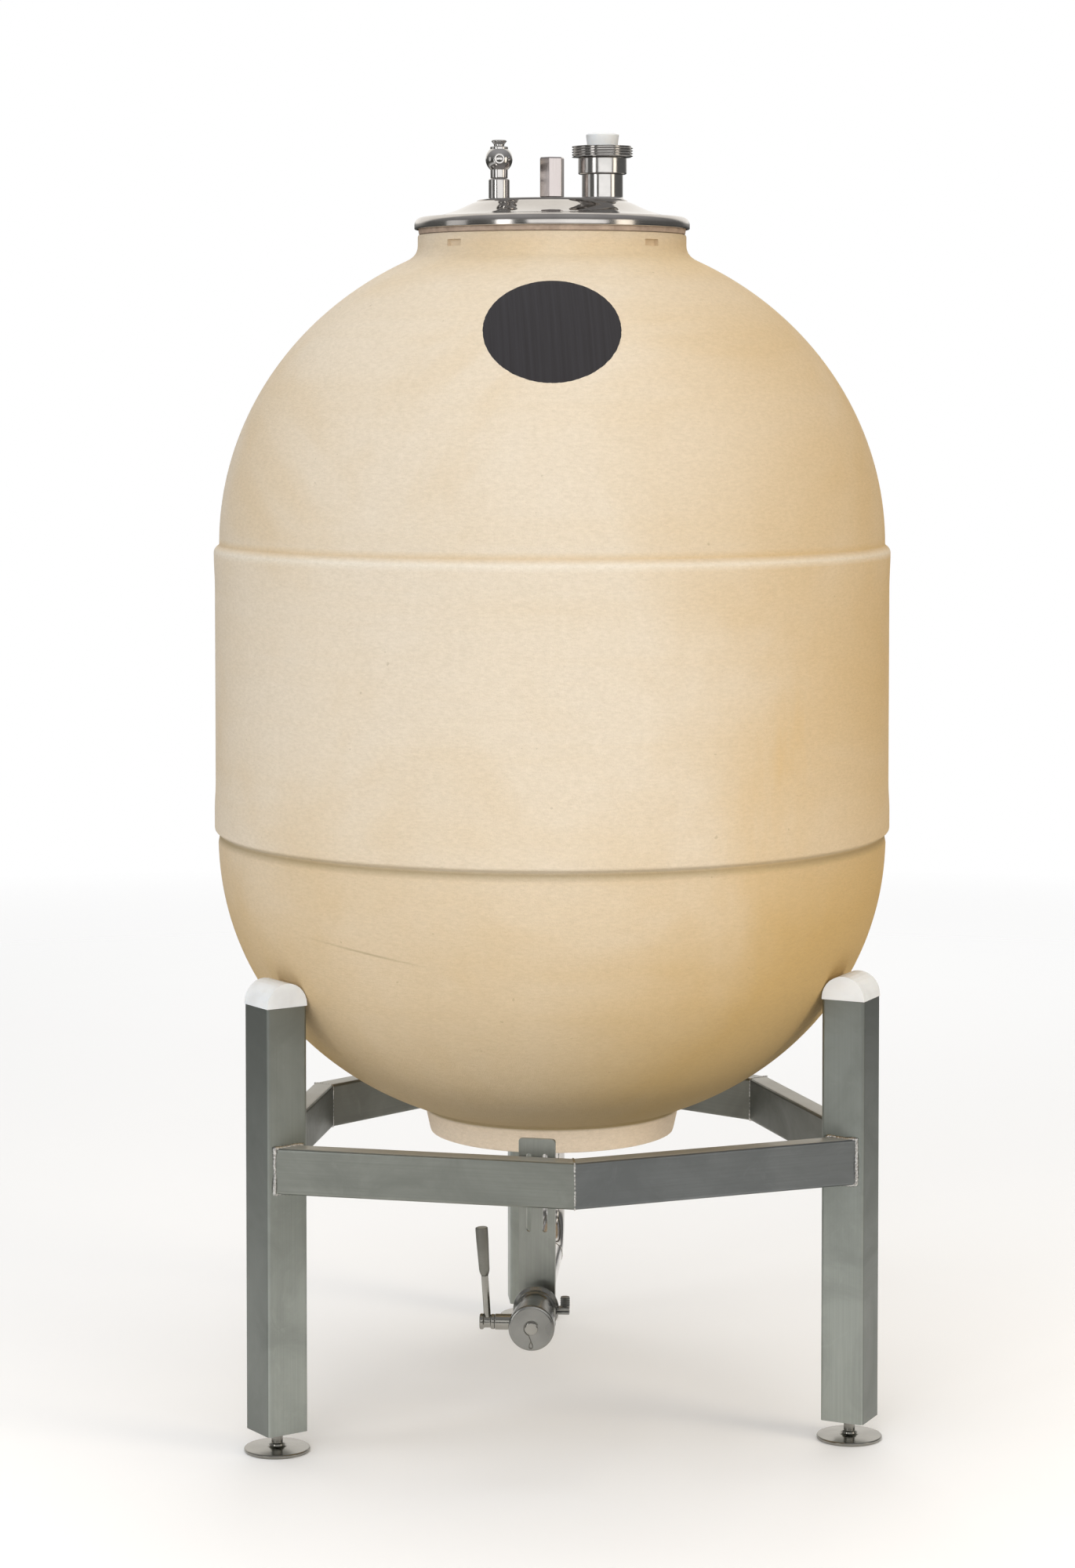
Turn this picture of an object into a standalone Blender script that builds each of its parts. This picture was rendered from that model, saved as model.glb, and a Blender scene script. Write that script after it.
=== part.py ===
"""Stoneware storage tank with a steel lid, standing on a three-legged steel frame.

Metres, +Z up. The origin is on the floor, on the tank's upright axis. The rear leg is towards +Y, and the
two front legs look towards -Y with the drain valve between them.
"""

from math import acos, cos, hypot, pi, radians, sin, tan

import bmesh
import bpy
from mathutils import Matrix, Vector

# General
CLEARANCE = 0.0003
MERGE_DISTANCE = 0.00001
LARGE_SIDES = 48
SMALL_SIDES = 24

# Clay vessel
WALL = 0.030
BAND_TOP_Z = 1.188
BAND_BOTTOM_Z = 0.7935
BAND_RADIUS = 0.4610
LIP_RADIUS = 0.4625
TOP_DOME_RADIUS = 0.4550
TOP_DOME_HEIGHT = 0.4280
TOP_DOME_POWER = 2.0
BASE_DOME_RADIUS = 0.4575
BASE_DOME_HEIGHT = 0.4056
BASE_DOME_POWER = 2.1
NECK_RADIUS = 0.1835
NECK_TOP_Z = 1.609
NECK_FILLET = 0.012
NECK_EDGE = 0.003
FOOT_RING_TOP_RADIUS = 0.176
FOOT_RING_RADIUS = 0.168
FOOT_RING_INNER_RADIUS = 0.140
FOOT_RING_EDGE = 0.003
FOOT_RING_Z = 0.378
OUTLET_RADIUS = 0.024
NOTCH_SIZE = (0.018, 0.014, 0.009)
NOTCH_Z = 1.5945
NOTCH_AZIMUTHS = (44.0, 136.0, 220.0, 312.0)

# Lid and what stands on it
LID_THICKNESS = 0.0025
LID_RADIUS = 0.188
PLATFORM_RADIUS = 0.104
PLATFORM_Z = 1.656
RIM_Z = 1.616
SEAL_WIDTH = 0.016
HEX_ACROSS_FLATS = 0.030
HEX_TOP_Z = 1.7145
HEX_TURN = 12.5
HEX_EDGE = 0.0008
VENT_X = -0.0725
VENT_STEM_RADIUS = 0.0143
VENT_STEM_HEIGHT = 0.0285
VENT_THROAT_RADIUS = 0.0117
VENT_BALL_RADIUS = 0.0184
VENT_BALL_Z = 1.7115
VENT_COLLAR_RADIUS = 0.0121
VENT_COLLAR_RISE = 0.0172
VENT_PORT_AZIMUTH = 268.0
VENT_PORT_RADIUS = 0.0046
VENT_BOSS_RADIUS = 0.0072
VENT_BOSS_REACH = 0.0205
VENT_KNOB_RADIUS = 0.0105
VENT_KNOB_FOOT_RADIUS = 0.0070
VENT_KNOB_HEIGHT = 0.0088
FILLER_X = 0.0690
FILLER_BORE_RADIUS = 0.0208
FILLER_TUBE_RADIUS = 0.0280
FILLER_TUBE_TOP_Z = 1.6912
FILLER_COLLAR_RADIUS = 0.0330
FILLER_COLLAR_TOP_Z = 1.7145
FILLER_TOP_Z = 1.7297
THREAD_RADIUS = 0.0417
THREAD_DEPTH = 0.0020
THREAD_TURNS = 4
BUNG_TOP_Z = 1.7474
BUNG_TOP_RADIUS = 0.0227
BUNG_EDGE = 0.0015
BUNG_SEAT_RADIUS = 0.0205
BUNG_SEAT_RISE = 0.0040
BUNG_BOTTOM_Z = 1.7050
BUNG_BOTTOM_RADIUS = 0.0174

# Frame
LEG_AZIMUTHS = {"left": 210.0, "right": 330.0, "rear": 90.0}
TUBE_SIDE = 0.060
TUBE_WALL = 0.0025
TUBE_CORNER = 0.004
LEG_BOTTOM_Z = 0.028
PAD_CONTACT_DEPTH = 0.185
PAD_BASE = 0.002
PAD_SPIGOT = 0.015
PAD_SPIGOT_SUNK = 0.004
BAR_THICKNESS = 0.030
BAR_TOP_Z = 0.4097
BAR_BOTTOM_Z = 0.3485
BAR_CORNER_RADIUS = 0.360
FOOT_RADIUS = 0.0435
FOOT_THICKNESS = 0.005
FOOT_COLLAR_RADIUS = 0.0100
FOOT_STEM_RADIUS = 0.0075
END_PLATE_THICKNESS = 0.006

# Drain
PIPE_RADIUS = 0.0175
DRAIN_AZIMUTH = 262.2
DRAIN_Z = 0.2157
ELBOW_RADIUS = 0.055
PIPE_TOP_Z = 0.395
FLANGE_RADIUS = 0.046
FLANGE_THICKNESS = 0.007
FLANGE_TOP_Z = 0.3872
BRACKET_WIDTH = 0.048
BRACKET_THICKNESS = 0.005
BRACKET_CORNER = 0.004
BRACKET_TOP_Z = 0.4325
BRACKET_BOTTOM_Z = 0.1860
BRACKET_HOLE_RADIUS = 0.0186
SLOT_WIDTH = 0.0065
SLOT_SPACING = 0.0213
SLOT_TOP_Z = 0.4133
SLOT_BOTTOM_Z = 0.3107
CLAMP_START = 0.345
CLAMP_END = 0.361
CLAMP_RADIUS = 0.0295
CLAMP_LUG_SIZE = (0.020, 0.013, 0.008)
CLAMP_LUG_OUT = 0.0340
CLAMP_NUT_OUT = 0.0375
CLAMP_NUT_RADIUS = 0.0065
CLAMP_NUT_HEIGHT = 0.012
VALVE_END = 0.4365
VALVE_RADIUS = 0.0275
VALVE_WAIST_RADIUS = 0.0235
CAP_END = 0.4530
CAP_RADIUS = 0.0292
CAP_BOSS_RADIUS = 0.0095
CAP_BOSS_HEIGHT = 0.002
STEM_DISTANCE = 0.4205
STEM_RADIUS = 0.0100
STEM_START = 0.0100
STEM_OUT = 0.0480
HUB_OUT = 0.0670
HUB_GAP = 0.0005
HUB_FOOT_RADIUS = 0.0080
LEVER_TILT = 3.7
ROD_RADIUS = 0.0045
GRIP_START = 0.060
GRIP_END = 0.1215
GRIP_RADIUS = 0.0080
GRIP_FOOT_RADIUS = 0.0050


def clear_scene():
    for thing in list(bpy.data.objects):
        bpy.data.objects.remove(thing)


def make_collection(name):
    group = bpy.data.collections.new(name)
    bpy.context.scene.collection.children.link(group)
    return group


def make_material(name, color, roughness, metallic=0.0):
    finish = bpy.data.materials.new(name)
    finish.use_nodes = True
    shader = finish.node_tree.nodes["Principled BSDF"]
    shader.inputs["Base Color"].default_value = (*color, 1.0)
    shader.inputs["Roughness"].default_value = roughness
    shader.inputs["Metallic"].default_value = metallic
    return finish


clear_scene()
PARTS = make_collection("stoneware_tank")
CUTTERS = make_collection("cutters")
CLAY = make_material("stoneware", (0.80, 0.62, 0.40), 0.90)
POLISHED = make_material("polished_steel", (0.72, 0.71, 0.70), 0.12, 1.0)
SATIN = make_material("satin_steel", (0.42, 0.43, 0.42), 0.42, 1.0)
WHITE = make_material("white_plastic", (0.86, 0.86, 0.84), 0.45)
SEAL = make_material("seal_rubber", (0.20, 0.15, 0.14), 0.70)


def add_object(name, mesh, material, group=PARTS):
    thing = bpy.data.objects.new(name, mesh)
    group.objects.link(thing)
    if material is not None:
        mesh.materials.append(material)
    return thing


def mesh_from(name, bm):
    mesh = bpy.data.meshes.new(name)
    bm.to_mesh(mesh)
    bm.free()
    return mesh


def smooth(thing, angle=35.0):
    """Round faces shade smooth, and edges sharper than the angle stay crisp."""
    thing.data.shade_smooth()
    thing.data.set_sharp_from_angle(angle=radians(angle))
    return thing


def turned(name, profile, material, sides=SMALL_SIDES, closed=False, group=PARTS):
    """Turns a profile of (radius, height) points, which runs down its outer side, about local Z."""
    mesh = bpy.data.meshes.new(name)
    points = [(radius, 0.0, height) for radius, height in profile]
    edges = [(i, i + 1) for i in range(len(points) - 1)]
    if closed:
        edges.append((len(points) - 1, 0))
    mesh.from_pydata(points, edges, [])
    thing = add_object(name, mesh, material, group)
    screw = thing.modifiers.new("turn", "SCREW")
    screw.axis = "Z"
    screw.steps = sides
    screw.render_steps = sides
    screw.use_merge_vertices = True
    screw.merge_threshold = MERGE_DISTANCE
    screw.use_smooth_shade = True
    return thing


def aim(thing, point, direction):
    """Puts the object's origin at a point and its local Z along a direction."""
    thing.location = point
    thing.rotation_mode = "QUATERNION"
    thing.rotation_quaternion = Vector(direction).to_track_quat("Z", "Y")
    return thing


def boolean(thing, cutter, operation):
    """Cuts an object with a second one, or joins the two, and hides the second one."""
    cutter.hide_render = True
    cutter.display_type = "WIRE"
    change = thing.modifiers.new(operation.lower(), "BOOLEAN")
    change.operation = operation
    change.solver = "EXACT"
    change.object = cutter


def block(name, size, material, group=PARTS):
    """A box with its true size in the mesh, centred on the object's origin."""
    bm = bmesh.new()
    bmesh.ops.create_cube(bm, size=1.0, matrix=Matrix.Diagonal((*size, 1.0)))
    return add_object(name, mesh_from(name, bm), material, group)


def rod(name, radius, start, end, material, sides=SMALL_SIDES, group=PARTS):
    """A round bar between two points."""
    start, end = Vector(start), Vector(end)
    bm = bmesh.new()
    bmesh.ops.create_cone(
        bm, cap_ends=True, segments=sides, radius1=radius, radius2=radius, depth=(end - start).length
    )
    thing = add_object(name, mesh_from(name, bm), material, group)
    aim(thing, (start + end) / 2, end - start)
    return smooth(thing)


def arc(centre, radius, first, last, steps):
    """Points on a circle from one angle to another, in degrees."""
    turn = (last - first) / steps
    angles = [radians(first + turn * i) for i in range(steps + 1)]
    return [(centre[0] + radius * cos(a), centre[1] + radius * sin(a)) for a in angles]


def rounded(corners, radius, steps=3):
    """The corners of a convex outline, counter-clockwise, each replaced by a small arc."""
    outline = []
    count = len(corners)
    for i, corner in enumerate(corners):
        here = Vector(corner)
        before = (Vector(corners[i - 1]) - here).normalized()
        after = (Vector(corners[(i + 1) % count]) - here).normalized()
        half = before.angle(after) / 2
        centre = here + (before + after).normalized() * radius / sin(half)
        start = here + before * radius / tan(half) - centre
        sweep = pi - 2 * half
        for step in range(steps + 1):
            outline.append(tuple(centre + Matrix.Rotation(sweep * step / steps, 2) @ start))
    return outline


def rectangle(low, high):
    return [(low[0], low[1]), (high[0], low[1]), (high[0], high[1]), (low[0], high[1])]


def flat_piece(name, outlines, thickness, material, group=PARTS):
    """A plate from closed outlines in its local XY plane. The later outlines are holes."""
    curve = bpy.data.curves.new(name, "CURVE")
    curve.dimensions = "2D"
    curve.fill_mode = "BOTH"
    curve.extrude = thickness / 2
    for outline in outlines:
        spline = curve.splines.new("POLY")
        spline.points.add(len(outline) - 1)
        for point, (x, y) in zip(spline.points, outline):
            point.co = (x, y, 0.0, 1.0)
        spline.use_cyclic_u = True
    return curve_to_mesh(add_object(name, curve, None, group), material, group)


def curve_to_mesh(source, material, group=PARTS):
    """Replaces a curve object by its closed mesh, with the caps welded on."""
    name = source.name
    bpy.context.view_layer.update()
    mesh = bpy.data.meshes.new_from_object(source.evaluated_get(bpy.context.evaluated_depsgraph_get()))
    place = source.matrix_world.copy()
    bpy.data.objects.remove(source)
    bm = bmesh.new()
    bm.from_mesh(mesh)
    bmesh.ops.remove_doubles(bm, verts=bm.verts, dist=MERGE_DISTANCE)
    bmesh.ops.recalc_face_normals(bm, faces=bm.faces)
    bm.to_mesh(mesh)
    bm.free()
    mesh.name = name
    mesh.materials.clear()
    thing = add_object(name, mesh, material, group)
    thing.name = name
    thing.matrix_world = place
    return thing


def polar(azimuth, radius=1.0, z=0.0):
    """The point at an angle about the tank's axis, in degrees from +X."""
    angle = radians(azimuth)
    return Vector((radius * cos(angle), radius * sin(angle), z))


def dome_curve(radius, height, power, near, far, steps):
    """Points on a dome's meridian between two radii, as (radius, distance from its widest level)."""
    first, last = [acos((r / radius) ** (power / 2)) for r in (near, far)]
    angles = [first + (last - first) * i / steps for i in range(steps + 1)]
    bend = 2 / power
    return [(radius * cos(a) ** bend, height * abs(sin(a)) ** bend) for a in angles]


def base_dome_radius(depth):
    share = (depth / BASE_DOME_HEIGHT) ** BASE_DOME_POWER
    return BASE_DOME_RADIUS * (1 - share) ** (1 / BASE_DOME_POWER)


def pad_centre():
    """Radius and height of the pad's round top, where it touches the lower dome from outside."""
    touch = base_dome_radius(PAD_CONTACT_DEPTH)
    out = touch ** (BASE_DOME_POWER - 1) / BASE_DOME_RADIUS**BASE_DOME_POWER
    down = PAD_CONTACT_DEPTH ** (BASE_DOME_POWER - 1) / BASE_DOME_HEIGHT**BASE_DOME_POWER
    reach = (TUBE_SIDE / 2 + CLEARANCE) / hypot(out, down)
    return touch + out * reach, BAND_BOTTOM_Z - PAD_CONTACT_DEPTH - down * reach


LEG_RADIUS, PAD_CENTRE_Z = pad_centre()
LEG_TOP_Z = PAD_CENTRE_Z - PAD_BASE
DRAIN = polar(DRAIN_AZIMUTH)
DRAIN_LEFT = Vector((DRAIN.y, -DRAIN.x, 0.0))
UP = Vector((0.0, 0.0, 1.0))


def along_drain(distance, left=0.0, up=0.0):
    """A point by its distance along the drain line from the tank's axis, its shift left and its rise."""
    return DRAIN * distance + DRAIN_LEFT * left + UP * (DRAIN_Z + up)


def neck_corner():
    """Where the neck's outer side would meet the upper dome without a fillet."""
    share = 1 - (NECK_RADIUS / TOP_DOME_RADIUS) ** TOP_DOME_POWER
    return BAND_TOP_Z + TOP_DOME_HEIGHT * share ** (1 / TOP_DOME_POWER)


def make_upper_dome():
    corner_z = neck_corner()
    fillet_end = NECK_RADIUS + NECK_FILLET
    outer = [(NECK_RADIUS - NECK_EDGE, NECK_TOP_Z), (NECK_RADIUS, NECK_TOP_Z - NECK_EDGE)]
    outer.append((NECK_RADIUS, corner_z + NECK_FILLET / 2))
    outer.append((NECK_RADIUS + NECK_FILLET / 4, corner_z + NECK_FILLET / 24))
    outside = (TOP_DOME_RADIUS, TOP_DOME_HEIGHT, TOP_DOME_POWER)
    meridian = dome_curve(*outside, fillet_end, TOP_DOME_RADIUS, 10)
    outer += [(radius, BAND_TOP_Z + rise) for radius, rise in meridian]
    inner_neck = NECK_RADIUS - WALL
    inside = (TOP_DOME_RADIUS - WALL, TOP_DOME_HEIGHT - WALL, TOP_DOME_POWER)
    meridian = dome_curve(*inside, TOP_DOME_RADIUS - WALL, inner_neck, 7)
    inner = [(radius, BAND_TOP_Z + rise) for radius, rise in meridian]
    inner.append((inner_neck, NECK_TOP_Z))
    dome = turned("upper_dome", outer + inner, CLAY, LARGE_SIDES, closed=True)
    for number, azimuth in enumerate(NOTCH_AZIMUTHS):
        notch = block(f"neck_notch_{number}", NOTCH_SIZE, None, CUTTERS)
        notch.location = polar(azimuth, NECK_RADIUS, NOTCH_Z)
        notch.rotation_euler.z = radians(azimuth - 90.0)
        boolean(dome, notch, "DIFFERENCE")


def make_middle_band():
    top = BAND_TOP_Z - CLEARANCE
    outer = [
        (TOP_DOME_RADIUS, top),
        (LIP_RADIUS - 0.0030, top - 0.003),
        (LIP_RADIUS, top - 0.012),
        (LIP_RADIUS, top - 0.022),
        (BAND_RADIUS, top - 0.050),
        (BAND_RADIUS, BAND_BOTTOM_Z + 0.060),
        (LIP_RADIUS, BAND_BOTTOM_Z + 0.030),
        (LIP_RADIUS, BAND_BOTTOM_Z + 0.014),
        (LIP_RADIUS - 0.002, BAND_BOTTOM_Z + 0.004),
        (BASE_DOME_RADIUS, BAND_BOTTOM_Z),
    ]
    inner_radius = TOP_DOME_RADIUS - WALL
    inner = [(inner_radius, BAND_BOTTOM_Z), (inner_radius, top)]
    turned("middle_band", outer + inner, CLAY, LARGE_SIDES, closed=True)


def make_lower_dome():
    top = BAND_BOTTOM_Z - CLEARANCE
    touch = base_dome_radius(PAD_CONTACT_DEPTH)
    shape = (BASE_DOME_RADIUS, BASE_DOME_HEIGHT, BASE_DOME_POWER)
    meridian = dome_curve(*shape, BASE_DOME_RADIUS, touch, 5)
    meridian += dome_curve(*shape, touch, FOOT_RING_TOP_RADIUS, 6)[1:]
    outer = [(radius, top - drop) for radius, drop in meridian]
    outer += [
        (FOOT_RING_RADIUS, FOOT_RING_Z + FOOT_RING_EDGE),
        (FOOT_RING_RADIUS - FOOT_RING_EDGE, FOOT_RING_Z),
        (FOOT_RING_INNER_RADIUS, FOOT_RING_Z),
    ]
    under = dome_curve(*shape, FOOT_RING_INNER_RADIUS, OUTLET_RADIUS, 2)
    outer += [(radius, top - drop) for radius, drop in under]
    inner_shape = (BASE_DOME_RADIUS - WALL, BASE_DOME_HEIGHT - WALL, BASE_DOME_POWER)
    inside = dome_curve(*inner_shape, OUTLET_RADIUS, BASE_DOME_RADIUS - WALL, 8)
    outer += [(radius, top - drop) for radius, drop in inside]
    turned("lower_dome", outer, CLAY, LARGE_SIDES, closed=True)


def make_lid():
    slope = [
        (0.0, PLATFORM_Z),
        (PLATFORM_RADIUS - 0.008, PLATFORM_Z),
        (PLATFORM_RADIUS, PLATFORM_Z - 0.0015),
        (PLATFORM_RADIUS + 0.008, PLATFORM_Z - 0.0050),
        (LID_RADIUS - 0.059, RIM_Z + 0.0275),
        (LID_RADIUS - 0.033, RIM_Z + 0.0210),
        (LID_RADIUS - 0.012, RIM_Z + 0.0165),
        (LID_RADIUS - 0.0035, RIM_Z + 0.0135),
        (LID_RADIUS, RIM_Z + 0.0085),
        (LID_RADIUS, RIM_Z + 0.0020),
        (LID_RADIUS - 0.0008, RIM_Z),
    ]
    lid = turned("lid", slope, POLISHED, LARGE_SIDES)
    sheet = lid.modifiers.new("sheet", "SOLIDIFY")
    sheet.thickness = LID_THICKNESS
    sheet.offset = -1.0
    low, high = Vector((FILLER_X, 0.0, RIM_Z)), Vector((FILLER_X, 0.0, HEX_TOP_Z))
    boolean(lid, rod("filler_lid_bore", FILLER_BORE_RADIUS, low, high, None, group=CUTTERS), "DIFFERENCE")
    outer = NECK_RADIUS - 0.001
    seal = [
        (outer, RIM_Z + 0.0105),
        (outer, NECK_TOP_Z + CLEARANCE),
        (outer - SEAL_WIDTH, NECK_TOP_Z + CLEARANCE),
        (outer - SEAL_WIDTH, RIM_Z + 0.0145),
    ]
    turned("lid_seal", seal, SEAL, LARGE_SIDES, closed=True)


def make_clamp_column():
    base = PLATFORM_Z + CLEARANCE
    height = HEX_TOP_Z - base
    corner = HEX_ACROSS_FLATS / 2 / cos(radians(30.0))
    bm = bmesh.new()
    bmesh.ops.create_cone(bm, cap_ends=True, segments=6, radius1=corner, radius2=corner, depth=height)
    column = add_object("clamp_column", mesh_from("clamp_column", bm), SATIN)
    column.location.z = base + height / 2
    column.rotation_euler.z = radians(HEX_TURN)
    edge = column.modifiers.new("edge", "BEVEL")
    edge.width = HEX_EDGE
    edge.segments = 1


def make_vent():
    base = PLATFORM_Z + CLEARANCE
    stem_top = base + VENT_STEM_HEIGHT
    stem = [(0.0, stem_top), (VENT_STEM_RADIUS, stem_top), (VENT_STEM_RADIUS, base), (0.0, base)]
    turned("vent_stem", stem, POLISHED).location.x = VENT_X
    throat = VENT_THROAT_RADIUS
    throat_foot = stem_top + CLEARANCE
    ball_low = VENT_BALL_Z - (VENT_BALL_RADIUS**2 - throat**2) ** 0.5
    collar_top = VENT_BALL_Z + VENT_COLLAR_RISE
    body = [(0.0, collar_top), (VENT_COLLAR_RADIUS, collar_top), (VENT_COLLAR_RADIUS, collar_top - 0.003)]
    body += arc((0.0, VENT_BALL_Z), VENT_BALL_RADIUS, 48.0, -50.0, 8)
    body += [(throat, ball_low - 0.001), (throat, throat_foot), (0.0, throat_foot)]
    ball = turned("vent_body", body, POLISHED)
    ball.location.x = VENT_X
    front = polar(VENT_PORT_AZIMUTH)
    middle = Vector((VENT_X, 0.0, VENT_BALL_Z))
    tip = middle + front * VENT_BOSS_REACH
    boss = rod("vent_boss", VENT_BOSS_RADIUS, middle + front * 0.010, tip, None, group=CUTTERS)
    boolean(ball, boss, "UNION")
    bore = rod("vent_port", VENT_PORT_RADIUS, middle + front * 0.014, tip + front * 0.010, None, 16, CUTTERS)
    boolean(ball, bore, "DIFFERENCE")
    foot = collar_top + CLEARANCE
    top = foot + VENT_KNOB_HEIGHT
    knob = [
        (0.0, top),
        (VENT_KNOB_RADIUS - 0.0007, top),
        (VENT_KNOB_RADIUS, top - 0.0016),
        (VENT_KNOB_RADIUS - 0.0007, top - 0.0036),
        (VENT_KNOB_FOOT_RADIUS, foot + 0.0035),
        (VENT_KNOB_FOOT_RADIUS, foot),
        (0.0, foot),
    ]
    turned("vent_knob", knob, POLISHED).location.x = VENT_X


def make_filler():
    bore = FILLER_BORE_RADIUS
    tiers = (
        ("filler_tube", FILLER_TUBE_RADIUS, PLATFORM_Z + CLEARANCE, FILLER_TUBE_TOP_Z),
        ("filler_collar", FILLER_COLLAR_RADIUS, FILLER_TUBE_TOP_Z + CLEARANCE, FILLER_COLLAR_TOP_Z),
    )
    for name, radius, low, high in tiers:
        ring = [(radius - 0.001, high), (radius, high - 0.001), (radius, low + 0.001)]
        ring += [(radius - 0.001, low), (bore, low), (bore, high)]
        turned(name, ring, POLISHED, closed=True).location.x = FILLER_X
    low = FILLER_COLLAR_TOP_Z + CLEARANCE
    pitch = (FILLER_TOP_Z - low - 0.001) / THREAD_TURNS
    thread = [(THREAD_RADIUS - THREAD_DEPTH, FILLER_TOP_Z)]
    for turn in range(THREAD_TURNS):
        crest = FILLER_TOP_Z - 0.0005 - pitch * (turn + 0.35)
        thread += [(THREAD_RADIUS, crest + pitch * 0.15), (THREAD_RADIUS, crest - pitch * 0.15)]
        thread.append((THREAD_RADIUS - THREAD_DEPTH, crest - pitch * 0.5))
    thread += [(THREAD_RADIUS - THREAD_DEPTH, low), (bore, low), (bore, FILLER_TOP_Z)]
    turned("filler_thread", thread, POLISHED, closed=True).location.x = FILLER_X
    bung = [
        (0.0, BUNG_TOP_Z),
        (BUNG_TOP_RADIUS - BUNG_EDGE, BUNG_TOP_Z),
        (BUNG_TOP_RADIUS, BUNG_TOP_Z - BUNG_EDGE),
        (BUNG_SEAT_RADIUS, FILLER_TOP_Z + BUNG_SEAT_RISE),
        (BUNG_SEAT_RADIUS, FILLER_TOP_Z),
        (BUNG_BOTTOM_RADIUS, BUNG_BOTTOM_Z),
        (0.0, BUNG_BOTTOM_Z),
    ]
    turned("filler_bung", bung, WHITE).location.x = FILLER_X


def make_leg(side, azimuth):
    centre = polar(azimuth, LEG_RADIUS)
    turn = radians(azimuth)
    half, inner = TUBE_SIDE / 2, TUBE_SIDE / 2 - TUBE_WALL
    outline = rounded(rectangle((-half, -half), (half, half)), TUBE_CORNER)
    hole = rounded(rectangle((-inner, -inner), (inner, inner)), TUBE_CORNER - TUBE_WALL, 2)
    tube = flat_piece(f"leg_{side}", [outline, hole], LEG_TOP_Z - LEG_BOTTOM_Z, SATIN)
    tube.location = centre + UP * (LEG_TOP_Z + LEG_BOTTOM_Z) / 2
    tube.rotation_euler.z = turn
    smooth(tube)
    plug = inner - CLEARANCE
    plate_outline = rounded(rectangle((-plug, -plug), (plug, plug)), TUBE_CORNER - TUBE_WALL, 2)
    plate = flat_piece(f"leg_{side}_end_plate", [plate_outline], END_PLATE_THICKNESS, SATIN)
    plate.location = centre + UP * (LEG_BOTTOM_Z + END_PLATE_THICKNESS / 2)
    plate.rotation_euler.z = turn
    make_pad(side, centre, turn, plate_outline)
    stem_top = LEG_BOTTOM_Z - CLEARANCE
    foot = [
        (0.0, stem_top),
        (FOOT_STEM_RADIUS, stem_top),
        (FOOT_STEM_RADIUS, FOOT_THICKNESS + 0.0055),
        (FOOT_COLLAR_RADIUS - 0.0005, FOOT_THICKNESS + 0.0050),
        (FOOT_COLLAR_RADIUS, FOOT_THICKNESS + 0.0025),
        (FOOT_RADIUS - 0.001, FOOT_THICKNESS),
        (FOOT_RADIUS, FOOT_THICKNESS - 0.001),
        (FOOT_RADIUS, 0.0),
        (0.0, 0.0),
    ]
    turned(f"foot_{side}", foot, POLISHED, 32).location = centre


def make_pad(side, centre, turn, plug_outline):
    """A plastic plug with a round top that runs crosswise, so the dome bears on its inner shoulder."""
    half = TUBE_SIDE / 2
    foot = LEG_TOP_Z + CLEARANCE - PAD_CENTRE_Z
    profile = [(-half, foot), (half, foot)] + arc((0.0, 0.0), half, 0.0, 180.0, 14)
    pad = flat_piece(f"pad_{side}", [profile], TUBE_SIDE, WHITE)
    upright = Matrix.Rotation(turn, 4, "Z") @ Matrix.Rotation(radians(90.0), 4, "X")
    pad.matrix_world = Matrix.Translation(centre + UP * PAD_CENTRE_Z) @ upright
    smooth(pad)
    length = PAD_SPIGOT + PAD_SPIGOT_SUNK
    spigot = flat_piece(f"pad_{side}_spigot", [plug_outline], length, None, CUTTERS)
    spigot.location = centre + UP * (LEG_TOP_Z + CLEARANCE + (PAD_SPIGOT_SUNK - PAD_SPIGOT) / 2)
    spigot.rotation_euler.z = turn
    boolean(pad, spigot, "UNION")


def make_bar(name, corner_azimuth, leg_azimuth):
    """A rectangular tube from a free corner of the frame to a leg's side face, cut flush at both ends."""
    step = 1.0 if leg_azimuth > corner_azimuth else -1.0
    corner = polar(corner_azimuth, BAR_CORNER_RADIUS)
    corner_normal = polar(corner_azimuth + 90.0) * step
    leg_normal = polar(leg_azimuth - 90.0 * step)
    seat = polar(leg_azimuth, LEG_RADIUS) + leg_normal * TUBE_SIDE / 2
    run = (seat - corner).normalized()
    side = Vector((-run.y, run.x, 0.0))
    height = BAR_TOP_Z - BAR_BOTTOM_Z
    leg_end = (seat + leg_normal * CLEARANCE, leg_normal)
    corner_end = (corner + corner_normal * CLEARANCE / 2, corner_normal)
    bm = bmesh.new()
    bmesh.ops.create_cube(bm, size=1.0, matrix=Matrix.Diagonal((1.0, BAR_THICKNESS, height, 1.0)))
    long_edges = [edge for edge in bm.edges if edge.verts[0].co.x * edge.verts[1].co.x < 0]
    for vertex in bm.verts:
        point, normal = leg_end if vertex.co.x > 0 else corner_end
        offset = side * vertex.co.y
        vertex.co.x = (point - corner - offset).dot(normal) / run.dot(normal)
    bmesh.ops.bevel(bm, geom=long_edges, offset=TUBE_CORNER, segments=3, profile=0.5, affect="EDGES")
    bar = add_object(name, mesh_from(name, bm), SATIN)
    bar.location = corner + UP * (BAR_TOP_Z + BAR_BOTTOM_Z) / 2
    bar.rotation_euler.z = run.to_2d().angle_signed(Vector((1.0, 0.0)))
    smooth(bar)


def bracket_place():
    """Where the drain line crosses the bracket, which lies flat on the inner face of the front left bar."""
    corner = polar(270.0, BAR_CORNER_RADIUS)
    seat = polar(210.0, LEG_RADIUS) + polar(300.0) * TUBE_SIDE / 2
    run = (seat - corner).normalized()
    inward = Vector((run.y, -run.x, 0.0))
    level = corner.dot(inward) + BAR_THICKNESS / 2 + CLEARANCE + BRACKET_THICKNESS / 2
    return DRAIN * (level / DRAIN.dot(inward)), inward


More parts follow.
